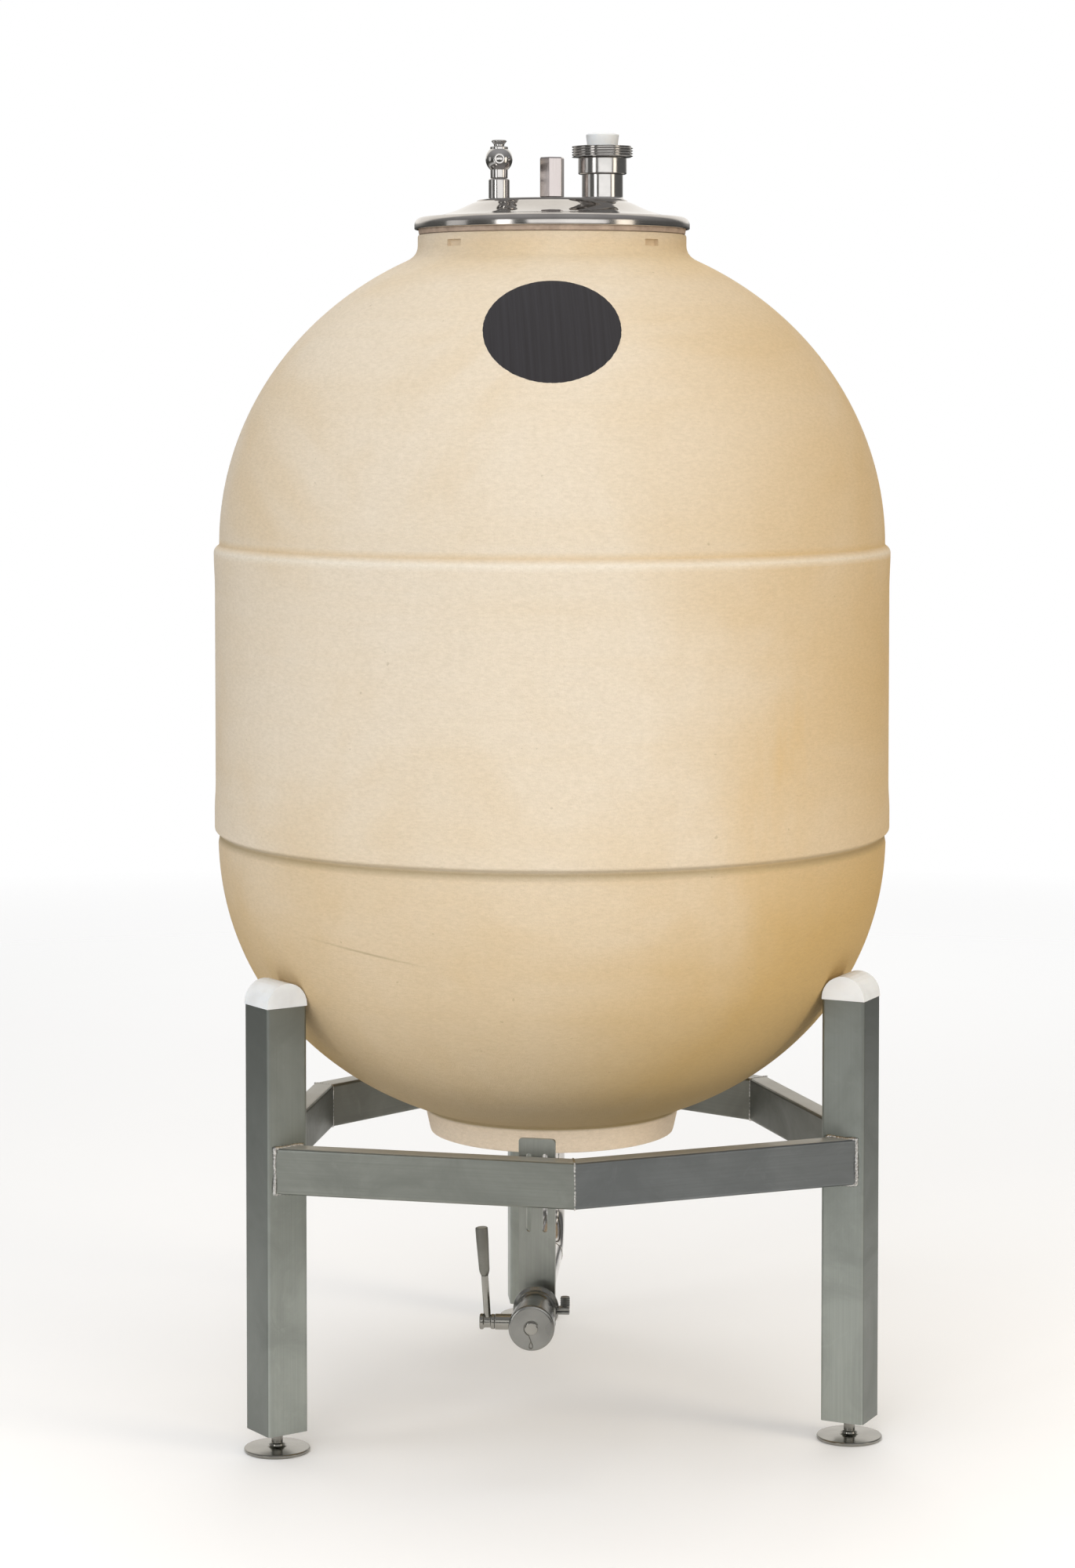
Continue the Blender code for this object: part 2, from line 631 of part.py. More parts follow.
def slot_outline(x, low, high):
    """A slot with round ends, upright in the bracket's plane."""
    half = SLOT_WIDTH / 2
    return arc((x, high - half), half, 0.0, 180.0, 5) + arc((x, low + half), half, 180.0, 360.0, 5)


def make_bracket():
    centre, inward = bracket_place()
    half = BRACKET_WIDTH / 2
    low, high = BRACKET_BOTTOM_Z - DRAIN_Z, BRACKET_TOP_Z - DRAIN_Z
    outlines = [rounded(rectangle((-half, low), (half, high)), BRACKET_CORNER)]
    for x in (-SLOT_SPACING / 2, SLOT_SPACING / 2):
        outlines.append(slot_outline(x, SLOT_BOTTOM_Z - DRAIN_Z, SLOT_TOP_Z - DRAIN_Z))
    outlines.append(arc((0.0, 0.0), BRACKET_HOLE_RADIUS, 0.0, 345.0, 23))
    plate = flat_piece("drain_bracket", outlines, BRACKET_THICKNESS, SATIN)
    sideways = UP.cross(inward)
    turn = Matrix((sideways, UP, sideways.cross(UP))).transposed().to_4x4()
    plate.matrix_world = Matrix.Translation(centre + UP * DRAIN_Z) @ turn


def make_drain_pipe():
    """From the outlet down the tank's axis, round an elbow and forward to the clamp."""
    path = [Vector((0.0, 0.0, PIPE_TOP_Z)), Vector((0.0, 0.0, (PIPE_TOP_Z + DRAIN_Z + ELBOW_RADIUS) / 2))]
    for across, down in arc((0.0, 0.0), ELBOW_RADIUS, 180.0, 270.0, 8):
        path.append(DRAIN * (ELBOW_RADIUS + across) + UP * (DRAIN_Z + ELBOW_RADIUS + down))
    path.append(along_drain(CLAMP_START - CLEARANCE))
    curve = bpy.data.curves.new("drain_pipe", "CURVE")
    curve.dimensions = "3D"
    curve.bevel_depth = PIPE_RADIUS
    curve.bevel_resolution = 4
    curve.use_fill_caps = True
    spline = curve.splines.new("POLY")
    spline.points.add(len(path) - 1)
    for point, place in zip(spline.points, path):
        point.co = (*place, 1.0)
    smooth(curve_to_mesh(add_object("drain_pipe", curve, None), POLISHED))
    bore = PIPE_RADIUS + CLEARANCE
    foot = FLANGE_TOP_Z - FLANGE_THICKNESS
    flange = [(FLANGE_RADIUS, FLANGE_TOP_Z), (FLANGE_RADIUS, foot), (bore, foot), (bore, FLANGE_TOP_Z)]
    turned("outlet_flange", flange, SATIN, 32, closed=True)


def make_clamp():
    """A ring that tapers to both sides, its lug at the right and the nut that stands on the lug."""
    middle = (CLAMP_START + CLAMP_END) / 2
    width = CLAMP_END - CLAMP_START
    ring = [
        (0.0, width),
        (CLAMP_RADIUS - 0.004, width),
        (CLAMP_RADIUS, width - 0.005),
        (CLAMP_RADIUS, 0.005),
        (CLAMP_RADIUS - 0.004, 0.0),
        (0.0, 0.0),
    ]
    clamp = aim(turned("clamp_ring", ring, POLISHED), along_drain(CLAMP_START), DRAIN)
    lug = block("clamp_lug", CLAMP_LUG_SIZE, None, CUTTERS)
    lug.location = along_drain(middle, -CLAMP_LUG_OUT)
    lug.rotation_euler.z = radians(DRAIN_AZIMUTH + 90.0)
    boolean(clamp, lug, "UNION")
    nut_foot = along_drain(middle, -CLAMP_NUT_OUT, CLAMP_LUG_SIZE[2] / 2 + CLEARANCE)
    rod("clamp_nut", CLAMP_NUT_RADIUS, nut_foot, nut_foot + UP * CLAMP_NUT_HEIGHT, POLISHED, 12)


def make_valve():
    """The body with the boss that the lever turns on, and the cap that closes the drain."""
    length = VALVE_END - CLAMP_END - CLEARANCE
    body = [
        (0.0, length),
        (VALVE_RADIUS, length),
        (VALVE_RADIUS, length - 0.030),
        (VALVE_WAIST_RADIUS, length - 0.036),
        (VALVE_WAIST_RADIUS, 0.008),
        (VALVE_RADIUS - 0.001, 0.004),
        (VALVE_RADIUS - 0.001, 0.0),
        (0.0, 0.0),
    ]
    valve = aim(turned("valve_body", body, POLISHED), along_drain(CLAMP_END + CLEARANCE), DRAIN)
    inner, outer = along_drain(STEM_DISTANCE, STEM_START), along_drain(STEM_DISTANCE, STEM_OUT)
    boolean(valve, rod("valve_stem_boss", STEM_RADIUS, inner, outer, None, group=CUTTERS), "UNION")
    thick = CAP_END - VALVE_END - CLEARANCE
    cap = [
        (0.0, thick + CAP_BOSS_HEIGHT),
        (CAP_BOSS_RADIUS - 0.0005, thick + CAP_BOSS_HEIGHT),
        (CAP_BOSS_RADIUS, thick),
        (CAP_RADIUS - 0.002, thick),
        (CAP_RADIUS, thick - 0.002),
        (CAP_RADIUS, 0.0),
        (0.0, 0.0),
    ]
    aim(turned("valve_cap", cap, POLISHED), along_drain(VALVE_END + CLEARANCE), DRAIN)


def make_lever():
    """The hub turns on the boss and carries the rod and the grip. All three hang on the empty there."""
    middle = along_drain(STEM_DISTANCE, (STEM_OUT + HUB_OUT) / 2)
    axle = bpy.data.objects.new("valve_lever_axle", None)
    axle.location = middle
    PARTS.objects.link(axle)
    seat = along_drain(STEM_DISTANCE, STEM_OUT + HUB_GAP)
    width = HUB_OUT - STEM_OUT
    hub = [
        (0.0, width),
        (STEM_RADIUS - 0.001, width),
        (STEM_RADIUS, width - 0.001),
        (STEM_RADIUS, 0.003),
        (HUB_FOOT_RADIUS, 0.002),
        (HUB_FOOT_RADIUS, 0.0),
        (0.0, 0.0),
    ]
    hub = aim(turned("lever_hub", hub, POLISHED), seat, DRAIN_LEFT)
    tilt = radians(LEVER_TILT)
    rise = UP * cos(tilt) + DRAIN_LEFT * sin(tilt)
    foot = middle + rise * (STEM_RADIUS + CLEARANCE)
    arm = rod("lever_rod", ROD_RADIUS, foot, middle + rise * (GRIP_START - CLEARANCE), POLISHED, 16)
    length = GRIP_END - GRIP_START
    grip = [
        (0.0, length),
        (GRIP_RADIUS - 0.0018, length - 0.0003),
        (GRIP_RADIUS - 0.0002, length - 0.0020),
        (GRIP_RADIUS, length - 0.0040),
        (GRIP_FOOT_RADIUS + 0.0016, 0.006),
        (GRIP_FOOT_RADIUS, 0.0),
        (0.0, 0.0),
    ]
    grip = aim(turned("lever_grip", grip, SATIN, 20), middle + rise * GRIP_START, rise)
    for piece in (hub, arm, grip):
        piece.parent = axle
        piece.matrix_parent_inverse = Matrix.Translation(-middle)


make_upper_dome()
make_middle_band()
make_lower_dome()
make_lid()
make_clamp_column()
make_vent()
make_filler()
for leg_side, leg_azimuth in LEG_AZIMUTHS.items():
    make_leg(leg_side, leg_azimuth)
make_bar("bar_front_left", 270.0, 210.0)
make_bar("bar_front_right", 270.0, 330.0)
make_bar("bar_left_front", 150.0, 210.0)
make_bar("bar_left_rear", 150.0, 90.0)
make_bar("bar_right_rear", 30.0, 90.0)
make_bar("bar_right_front", 30.0, -30.0)
make_bracket()
make_drain_pipe()
make_clamp()
make_valve()
make_lever()
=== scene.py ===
"""Looks of a stoneware storage tank: fine clay, polished and brushed steel, welds and small fittings.

Metres, +Z up, the tank's axis on Z and its front towards -Y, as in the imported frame.
"""

from math import acos, atan2, cos, degrees, pi, radians, sin, sqrt

import bmesh
import bpy
from mathutils import Matrix, Vector, noise


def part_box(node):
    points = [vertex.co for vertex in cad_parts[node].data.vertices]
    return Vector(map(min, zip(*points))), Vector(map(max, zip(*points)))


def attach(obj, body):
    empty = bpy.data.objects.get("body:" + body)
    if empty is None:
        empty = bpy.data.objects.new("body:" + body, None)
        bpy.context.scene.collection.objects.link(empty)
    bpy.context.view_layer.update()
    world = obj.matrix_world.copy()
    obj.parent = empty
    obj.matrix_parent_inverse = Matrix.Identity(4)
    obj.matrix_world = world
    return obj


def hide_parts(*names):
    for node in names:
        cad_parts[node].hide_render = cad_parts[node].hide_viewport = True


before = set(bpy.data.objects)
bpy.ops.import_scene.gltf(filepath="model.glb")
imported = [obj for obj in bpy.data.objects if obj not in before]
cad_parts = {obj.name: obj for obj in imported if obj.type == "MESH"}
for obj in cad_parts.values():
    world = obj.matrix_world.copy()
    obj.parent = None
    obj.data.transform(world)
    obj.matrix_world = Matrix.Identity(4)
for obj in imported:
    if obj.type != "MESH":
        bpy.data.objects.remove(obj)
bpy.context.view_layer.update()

# Sides of turned pieces
VESSEL_SIDES = 224
LID_SIDES = 160
ROUND_SIDES = 72
SMALL_SIDES = 40

# Clay vessel
WALL = 0.03
BAND_TOP_Z = 1.188
BAND_BOTTOM_Z = 0.7935
BAND_RADIUS = 0.461
LIP_RADIUS = 0.4624
LIP_ROUND = 0.0105
TOP_DOME_RADIUS = 0.455
TOP_DOME_HEIGHT = 0.428
BASE_DOME_RADIUS = 0.4575
BASE_DOME_HEIGHT = 0.4056
BASE_DOME_POWER = 2.1
NECK_RADIUS = 0.1835
NECK_TOP_Z = 1.609
NECK_FILLET = 0.016
FOOT_RING_TOP_RADIUS = 0.176
FOOT_RING_RADIUS = 0.168
FOOT_RING_INNER_RADIUS = 0.14
FOOT_RING_Z = 0.378
FOOT_CREASE_Z = 0.412
OUTLET_RADIUS = 0.024
NOTCH_SIZE = (0.026, 0.014, 0.009)
NOTCH_Z = 1.5945
NOTCH_AZIMUTHS = (44.0, 136.0, 220.0, 312.0)

# Colours of the clay, and of the light and shade painted on it
CREAM = (0.81, 0.72, 0.60)
SAND = (0.775, 0.645, 0.475)
OCHRE = (0.66, 0.45, 0.20)
# Painted shade on the lower dome
SHADE_OCHRE = (0.61, 0.41, 0.17)
UMBER = (0.26, 0.20, 0.10)
# Painted warm shade at the neck's foot
HONEY = (0.80, 0.60, 0.33)
WARM_RUN = (0.70, 0.50, 0.26)
# Painted light on the foot ring
FOOT_PAINTED_LIGHT = (0.84, 0.70, 0.55)
# Painted highlight on the band's top lip
LIP_HIGHLIGHT = (0.88, 0.82, 0.72)

# Warm runs from the kiln down the band, right of the front, leaning outwards as they rise
STAIN_X = 0.262
STAIN_Z = 0.91
STAIN_WIDTH = 0.085
STAIN_HEIGHT = 0.20
STAIN_LEAN = 0.30

# A shallow scratch on the lower dome, left of the front
SCRATCH_X = -0.265
SCRATCH_Z = 0.6795
SCRATCH_SLOPE = -0.16
SCRATCH_REACH = 0.085
SCRATCH_WIDTH = 0.0022

# Label on the upper dome
LABEL_AZIMUTH = 265.5
LABEL_Z = 1.4815
LABEL_RADIUS = 0.0915
LABEL_STRETCH = 1.05
LABEL_LIFT = 0.0004
LABEL_RINGS = 14
LABEL_SIDES = 96

# Lid and what stands on it
PLATFORM_RADIUS = 0.104
COLUMN_WIDTH = 0.03
COLUMN_TURN = 12.5
VENT_BALL_RADIUS = 0.0184
FILLER_BORE_RADIUS = 0.0208
THREAD_TURNS = 4
THREAD_DEPTH = 0.0024
# One turn of the thread: how far up it is, and how far out, as shares of its pitch and depth
THREAD_SECTION = ((0.00, 0.0), (0.18, 0.75), (0.32, 1.0), (0.46, 1.0), (0.60, 0.75), (0.80, 0.0))

# Frame
LEG_AZIMUTHS = {"left": 210.0, "right": 330.0, "rear": 90.0}
TUBE_SIDE = 0.06
BAR_THICKNESS = 0.03
BAR_CORNER_RADIUS = 0.36
BARS = {
    "bar_front_left": (270.0, "left"),
    "bar_front_right": (270.0, "right"),
    "bar_left_front": (150.0, "left"),
    "bar_left_rear": (150.0, "rear"),
    "bar_right_rear": (30.0, "rear"),
    "bar_right_front": (30.0, "right"),
}
BEAD_RADIUS = 0.0027
BEAD_STEP = 0.0016
BEAD_SEED = 7
# Dust on the steel's tops, light enough to stand as painted light along them
DUST_AND_TOP_LIGHT = (0.44, 0.435, 0.40)
# Painted light and shade: one steel, given a lighter tint on the front bars, where the light falls, than on
# the rest
BAR_TINT = (0.19, 0.193, 0.17)
BAR_LIT_TINTS = {"bar_front_left": (0.285, 0.297, 0.268), "bar_front_right": (0.20, 0.213, 0.215)}

# Drain
DRAIN_AZIMUTH = 262.2
DRAIN_Z = 0.2157
PIPE_RADIUS = 0.0175
ELBOW_RADIUS = 0.055
PIPE_TOP_Z = 0.395
CLAMP_START = 0.345
CLAMP_END = 0.361
CLAMP_RADIUS = 0.0295
NUT_RADIUS = 0.0065
NUT_TEETH = 14
VALVE_END = 0.4365
VALVE_RADIUS = 0.0275
CAP_END = 0.453
CAP_RADIUS = 0.0292
STEM_DISTANCE = 0.4205
STEM_RADIUS = 0.01
STEM_OUT = 0.048
HUB_OUT = 0.067
LEVER_TILT = 3.7
ROD_RADIUS = 0.0045
GRIP_START = 0.06
GRIP_END = 0.1215

# Camera, as the photograph is taken: an upright picture, the tank's middle a little right of its centre
CAMERA_DISTANCE = 5.065
CAMERA_HEIGHT = 1.4247
CAMERA_AZIMUTH = -4.5
CAMERA_PITCH = 2.77
CAMERA_YAW = 0.225
CAMERA_LENS = 84.85
CAMERA_SHIFT = -0.15

# Studio
FLOOR_RADIUS = 5.5
FLOOR_FADE_START = 0.9
ROOM_LOW = (0.055, 0.056, 0.05)
ROOM_HIGH = (0.42, 0.42, 0.43)
WALL_BEHIND = (1.05, 1.02, 0.97)
BACKDROP = (1.0, 1.0, 1.0)
# Heights and depths of a direction: where the room brightens, and where the wall behind ends
ROOM_RISE = (-0.15, 0.9)
WALL_LEAN = 0.6
WALL_EDGE = (0.72, 0.98)
WALL_FOOT = (0.02, 0.11)


def polar(azimuth, radius=1.0, z=0.0):
    """The point at an angle about the tank's axis, in degrees from +X."""
    angle = radians(azimuth)
    return Vector((radius * cos(angle), radius * sin(angle), z))


UP = Vector((0.0, 0.0, 1.0))
DRAIN = polar(DRAIN_AZIMUTH)
DRAIN_LEFT = Vector((DRAIN.y, -DRAIN.x, 0.0))


def along_drain(distance, left=0.0, up=0.0):
    """A point by its distance along the drain line, its shift to the left and its rise."""
    return DRAIN * distance + DRAIN_LEFT * left + UP * (DRAIN_Z + up)


def size_of(node):
    """A node's lowest and highest level, its centre and its half width."""
    least, most = (Vector(corner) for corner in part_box(node))
    return least.z, most.z, (least + most) / 2, (most.x - least.x) / 2


# Materials


class Nodes:
    """Short calls that add nodes to a tree. An input is a value or another node's output."""

    def __init__(self, tree):
        self.tree = tree

    def fill(self, socket, value):
        """Links or sets one input."""
        if isinstance(value, bpy.types.NodeSocket):
            self.tree.links.new(value, socket)
        elif isinstance(value, tuple) and socket.type == "RGBA":
            socket.default_value = (*value, 1.0)
        else:
            socket.default_value = value

    def fill_all(self, node, inputs):
        """Links or sets a node's inputs by name, with underscores for spaces."""
        for key, value in inputs.items():
            self.fill(node.inputs[key.replace("_", " ")], value)

    def add(self, kind, settings=None, **inputs):
        """A node with its settings and its inputs by name."""
        made = self.tree.nodes.new(kind)
        for key, value in (settings or {}).items():
            setattr(made, key, value)
        self.fill_all(made, inputs)
        return made

    def ramp(self, factor, low, high, start=0.0, end=1.0, kind="LINEAR"):
        """Maps a factor between two limits to a number, clamped."""
        made = self.add(
            "ShaderNodeMapRange", {"interpolation_type": kind},
            From_Min=low, From_Max=high, To_Min=start, To_Max=end, Value=factor,
        )
        return made.outputs["Result"]

    def math(self, operation, first, second=0.0):
        made = self.add("ShaderNodeMath", {"operation": operation})
        self.fill(made.inputs[0], first)
        self.fill(made.inputs[1], second)
        return made.outputs["Value"]

    def product(self, *factors):
        """Several factors multiplied."""
        result = factors[0]
        for factor in factors[1:]:
            result = self.math("MULTIPLY", result, factor)
        return result

    def mix(self, factor, first, second):
        """Two colours mixed by a factor, which is clamped."""
        made = self.add("ShaderNodeMix", {"data_type": "RGBA"})
        sockets = (made.inputs["Factor"], made.inputs[6], made.inputs[7])
        for socket, value in zip(sockets, (factor, first, second)):
            self.fill(socket, value)
        return made.outputs[2]

    def tint(self, tone, color, *factors):
        """A tone moved towards a colour by the product of the factors."""
        return self.mix(self.product(*factors), tone, color)

    def mix_shaders(self, factor, first, second):
        made = self.add("ShaderNodeMixShader")
        for socket, value in zip(made.inputs, (factor, first, second)):
            self.fill(socket, value)
        return made.outputs["Shader"]


class Shader(Nodes):
    """A material with one Principled shader."""

    def __init__(self, name, roughness, metallic=0.0, bump_depth=0.001, **inputs):
        self.material = bpy.data.materials.new(name)
        self.material.use_nodes = True
        super().__init__(self.material.node_tree)
        self.base = self.tree.nodes["Principled BSDF"]
        self.fill_all(self.base, {"Roughness": roughness, "Metallic": metallic, **inputs})
        self.bump = self.add("ShaderNodeBump", Distance=bump_depth)
        self.tree.links.new(self.bump.outputs["Normal"], self.base.inputs["Normal"])
        self.place = self.add("ShaderNodeTexCoord").outputs["Object"]

    def finish(self, slot, tone, relief, strength, roughness=None):
        """The finished material, and the record's slot that it belongs to."""
        self.fill(self.base.inputs["Base Color"], tone)
        self.fill(self.bump.inputs["Height"], relief)
        self.bump.inputs["Strength"].default_value = strength
        if roughness is not None:
            self.fill(self.base.inputs["Roughness"], roughness)
        return self.material, slot

    def stretched(self, scale, turn=0.0):
        """Object coordinates, turned about Z and then stretched."""
        turned = self.add("ShaderNodeMapping", Vector=self.place, Rotation=(0.0, 0.0, radians(-turn)))
        return self.add("ShaderNodeMapping", Vector=turned.outputs["Vector"], Scale=scale).outputs["Vector"]

    def noise(self, scale, detail=2.0, where=None, roughness=0.5, distortion=0.0):
        made = self.add(
            "ShaderNodeTexNoise", Vector=where or self.place, Scale=scale, Detail=detail,
            Roughness=roughness, Distortion=distortion,
        )
        return made.outputs["Fac"]

    def streaks(self, scale, turn=0.0, detail=3.0, roughness=0.6):
        """Noise with a scale for each axis, so that it can run in streaks."""
        return self.noise(1.0, detail, self.stretched(scale, turn), roughness)

    def length(self, vector):
        """The length of a vector."""
        made = self.add("ShaderNodeVectorMath", {"operation": "LENGTH"})
        self.fill(made.inputs[0], vector)
        return made.outputs["Value"]

    def facing_up(self):
        """1 on level faces that look up, 0 on upright ones."""
        facing = self.add("ShaderNodeSeparateXYZ", Vector=self.add("ShaderNodeTexCoord").outputs["Normal"])
        return self.ramp(facing.outputs["Z"], 0.80, 0.95)

    def facing_out(self):
        """1 on upright faces turned straight away from the tank's axis, 0 on those that face along it."""
        level = self.add("ShaderNodeVectorMath", {"operation": "NORMALIZE"})
        self.fill(level.inputs[0], self.stretched((1.0, 1.0, 0.0)))
        facing = self.add("ShaderNodeVectorMath", {"operation": "DOT_PRODUCT"})
        self.fill(facing.inputs[0], level.outputs["Vector"])
        self.fill(facing.inputs[1], self.add("ShaderNodeTexCoord").outputs["Normal"])
        return facing.outputs["Value"]

    def axis(self, name):
        """One of the object coordinates, X, Y or Z."""
        return self.add("ShaderNodeSeparateXYZ", Vector=self.place).outputs[name]

    def in_front(self):
        """1 on the tank's front half, 0 behind."""
        return self.ramp(self.axis("Y"), -0.05, -0.10)

    def near(self, value, target, reach):
        """1 where a coordinate is at the target, falling to 0 at the reach."""
        off = self.math("ABSOLUTE", self.math("SUBTRACT", value, target))
        return self.ramp(off, 0.0, reach, 1.0, 0.0)


def lower_dome_tones(clay, tone, clouds):
    """Painted shade, warmer and darker downwards and to the right, with the foot ring painted pale under a
    painted shadow in its crease.
    """
    x, z = clay.axis("X"), clay.axis("Z")
    ring_top = FOOT_CREASE_Z - 0.003
    # Painted shade: warmer and darker downwards, to the right and towards the sides in cloudy patches, weaker
    # on the foot ring
    tone = clay.tint(
        tone, SHADE_OCHRE,
        clay.ramp(z, 0.80, 0.44, 0.27, 1.0),
        clay.ramp(clouds, 0.25, 0.65, 0.55, 0.95),
        clay.ramp(z, BAND_BOTTOM_Z + 0.001, BAND_BOTTOM_Z - 0.001),
        clay.ramp(x, -0.05, 0.42, 0.86, 2.10),
        clay.ramp(clay.math("ABSOLUTE", x), 0.06, 0.34, 0.94, 1.45),
        clay.ramp(z, ring_top, FOOT_CREASE_Z, 0.15, 1.0),
    )
    # Painted shade: darker towards the bottom, and more so to the right, above the foot ring
    shade = clay.math("ADD", clay.ramp(z, 0.62, 0.41, 0.0, 0.24), clay.ramp(z, 0.74, 0.60, 0.02, 0.07))
    painted_low_shade = clay.product(shade, clay.ramp(x, -0.30, 0.30, 1.10, 2.50))
    painted_low_shade = clay.math("ADD", painted_low_shade, clay.ramp(z, 0.46, 0.41, 0.0, 0.12))
    tone = clay.tint(tone, UMBER, painted_low_shade, clay.ramp(z, ring_top, FOOT_CREASE_Z))
    # Painted light: the foot ring lighter, against the shade under the dome
    tone = clay.tint(tone, FOOT_PAINTED_LIGHT, clay.ramp(z, FOOT_CREASE_Z, ring_top, 0.0, 0.70))
    # Painted shadow in the crease where the dome meets the foot ring
    return clay.tint(tone, UMBER, clay.near(z, FOOT_CREASE_Z, 0.0045), 0.55)


def edge_tones(clay, tone, clouds):
    """The neck's foot warmer as painted shade, a dark painted shadow in the crease under the band,
    a warm one over it and a painted highlight on the band's pale lip.
    """
    x, z = clay.axis("X"), clay.axis("Z")
    # Painted shade at the neck's foot, warmer where it meets the dome and more so to the right
    foot = clay.near(z, NECK_TOP_Z - 0.019, 0.05)
    tone = clay.tint(tone, OCHRE, foot, clay.ramp(clouds, 0.40, 0.62, 0.0, 0.26))
    foot = clay.near(z, NECK_TOP_Z - 0.033, 0.03)
    tone = clay.tint(tone, HONEY, foot, clay.ramp(x, -0.16, 0.14, 0.08, 0.42))
    # Painted shadow under the band's lower lip
    tone = clay.tint(tone, UMBER, clay.near(z, BAND_BOTTOM_Z - 0.0025, 0.0095), 0.66)
    # Painted warm shadow in the crease over the band's top lip
    tone = clay.tint(tone, OCHRE, clay.near(z, BAND_TOP_Z + 0.001, 0.008), 0.42)
    # Painted highlight along the band's top lip
    return clay.tint(tone, LIP_HIGHLIGHT, clay.near(z, BAND_TOP_Z - 0.0085, 0.0085), 0.55)


def warm_runs(clay, tone):
    """Warm runs down the band, in front only."""
    x, z = clay.axis("X"), clay.axis("Z")
    across = clay.math("SUBTRACT", x, clay.product(clay.math("SUBTRACT", z, STAIN_Z), STAIN_LEAN))
    runs = clay.streaks((34.0, 34.0, 5.0))
    return clay.tint(
        tone, WARM_RUN,
        clay.near(across, STAIN_X, STAIN_WIDTH),
        clay.near(z, STAIN_Z, STAIN_HEIGHT),
        clay.ramp(runs, 0.32, 0.62, 0.25, 1.0),
        clay.in_front(),
        0.75,
    )


def scratch(clay, tone):
    """A shallow scratch on the lower dome, in front only."""
    x, z = clay.axis("X"), clay.axis("Z")
    above = clay.math("SUBTRACT", z, clay.product(x, SCRATCH_SLOPE))
    line = clay.near(above, SCRATCH_Z - SCRATCH_SLOPE * SCRATCH_X, SCRATCH_WIDTH)
    return clay.tint(tone, UMBER, line, clay.near(x, SCRATCH_X, SCRATCH_REACH), clay.in_front(), 0.55)


def clay_material():
    """Fired clay: cream, with painted warm shade to the right and low down, a fine sandy grain and a few
    specks.
    """
    clay = Shader("fired_clay", 0.88, bump_depth=0.0012, Specular_IOR_Level=0.25)
    clouds = clay.noise(2.3, 4.0, roughness=0.55, distortion=0.6)
    bands = clay.streaks((1.3, 1.3, 26.0))
    grain = clay.noise(620.0, 3.0, roughness=0.65)
    coarse = clay.streaks((120.0, 120.0, 340.0))
    tone = clay.tint(CREAM, SAND, clay.ramp(clouds, 0.36, 0.70, 0.10, 0.70))
    tone = clay.tint(tone, SAND, clay.ramp(bands, 0.45, 0.75, 0.0, 0.35))
    # Painted warm shade towards the right, broken up by the clay's own cloudy tone
    rightwards = clay.ramp(clay.axis("X"), 0.0, 0.42, 0.0, 0.70)
    tone = clay.tint(tone, OCHRE, clay.math("ADD", rightwards, clay.ramp(clouds, 0.35, 0.7, -0.20, 0.22)))
    tone = lower_dome_tones(clay, tone, clouds)
    tone = edge_tones(clay, tone, clouds)
    tone = warm_runs(clay, tone)
    tone = clay.tint(tone, UMBER, clay.ramp(grain, 0.30, 0.75, 0.12, 0.0))
    tone = clay.tint(tone, UMBER, clay.ramp(coarse, 0.32, 0.66, 0.13, 0.0))
    tone = scratch(clay, tone)
    tone = clay.tint(tone, UMBER, clay.ramp(clay.noise(95.0, 1.0), 0.80, 0.815, 0.0, 0.28))
    relief = clay.math("ADD", grain, clay.product(coarse, 0.8))
    relief = clay.math("ADD", relief, clay.product(bands, 0.7))
    return clay.finish("stoneware", tone, relief, 0.75, clay.ramp(clouds, 0.3, 0.7, 0.84, 0.93))


def label_material():
    """A plain dark print that lets the clay's grain through."""
    dark = Shader("dark_label", 0.70, bump_depth=0.0008, Specular_IOR_Level=0.10)
    grain = dark.noise(620.0, 3.0, roughness=0.65)
    streaks = dark.streaks((170.0, 0.0, 4.0), roughness=0.65)
    tone = dark.tint((0.034, 0.032, 0.034), (0.043, 0.041, 0.045), dark.ramp(streaks, 0.35, 0.72))
    tone = dark.tint(tone, (0.12, 0.11, 0.10), dark.ramp(grain, 0.62, 0.82, 0.0, 0.10))
    return dark.finish(None, tone, grain, 0.14)


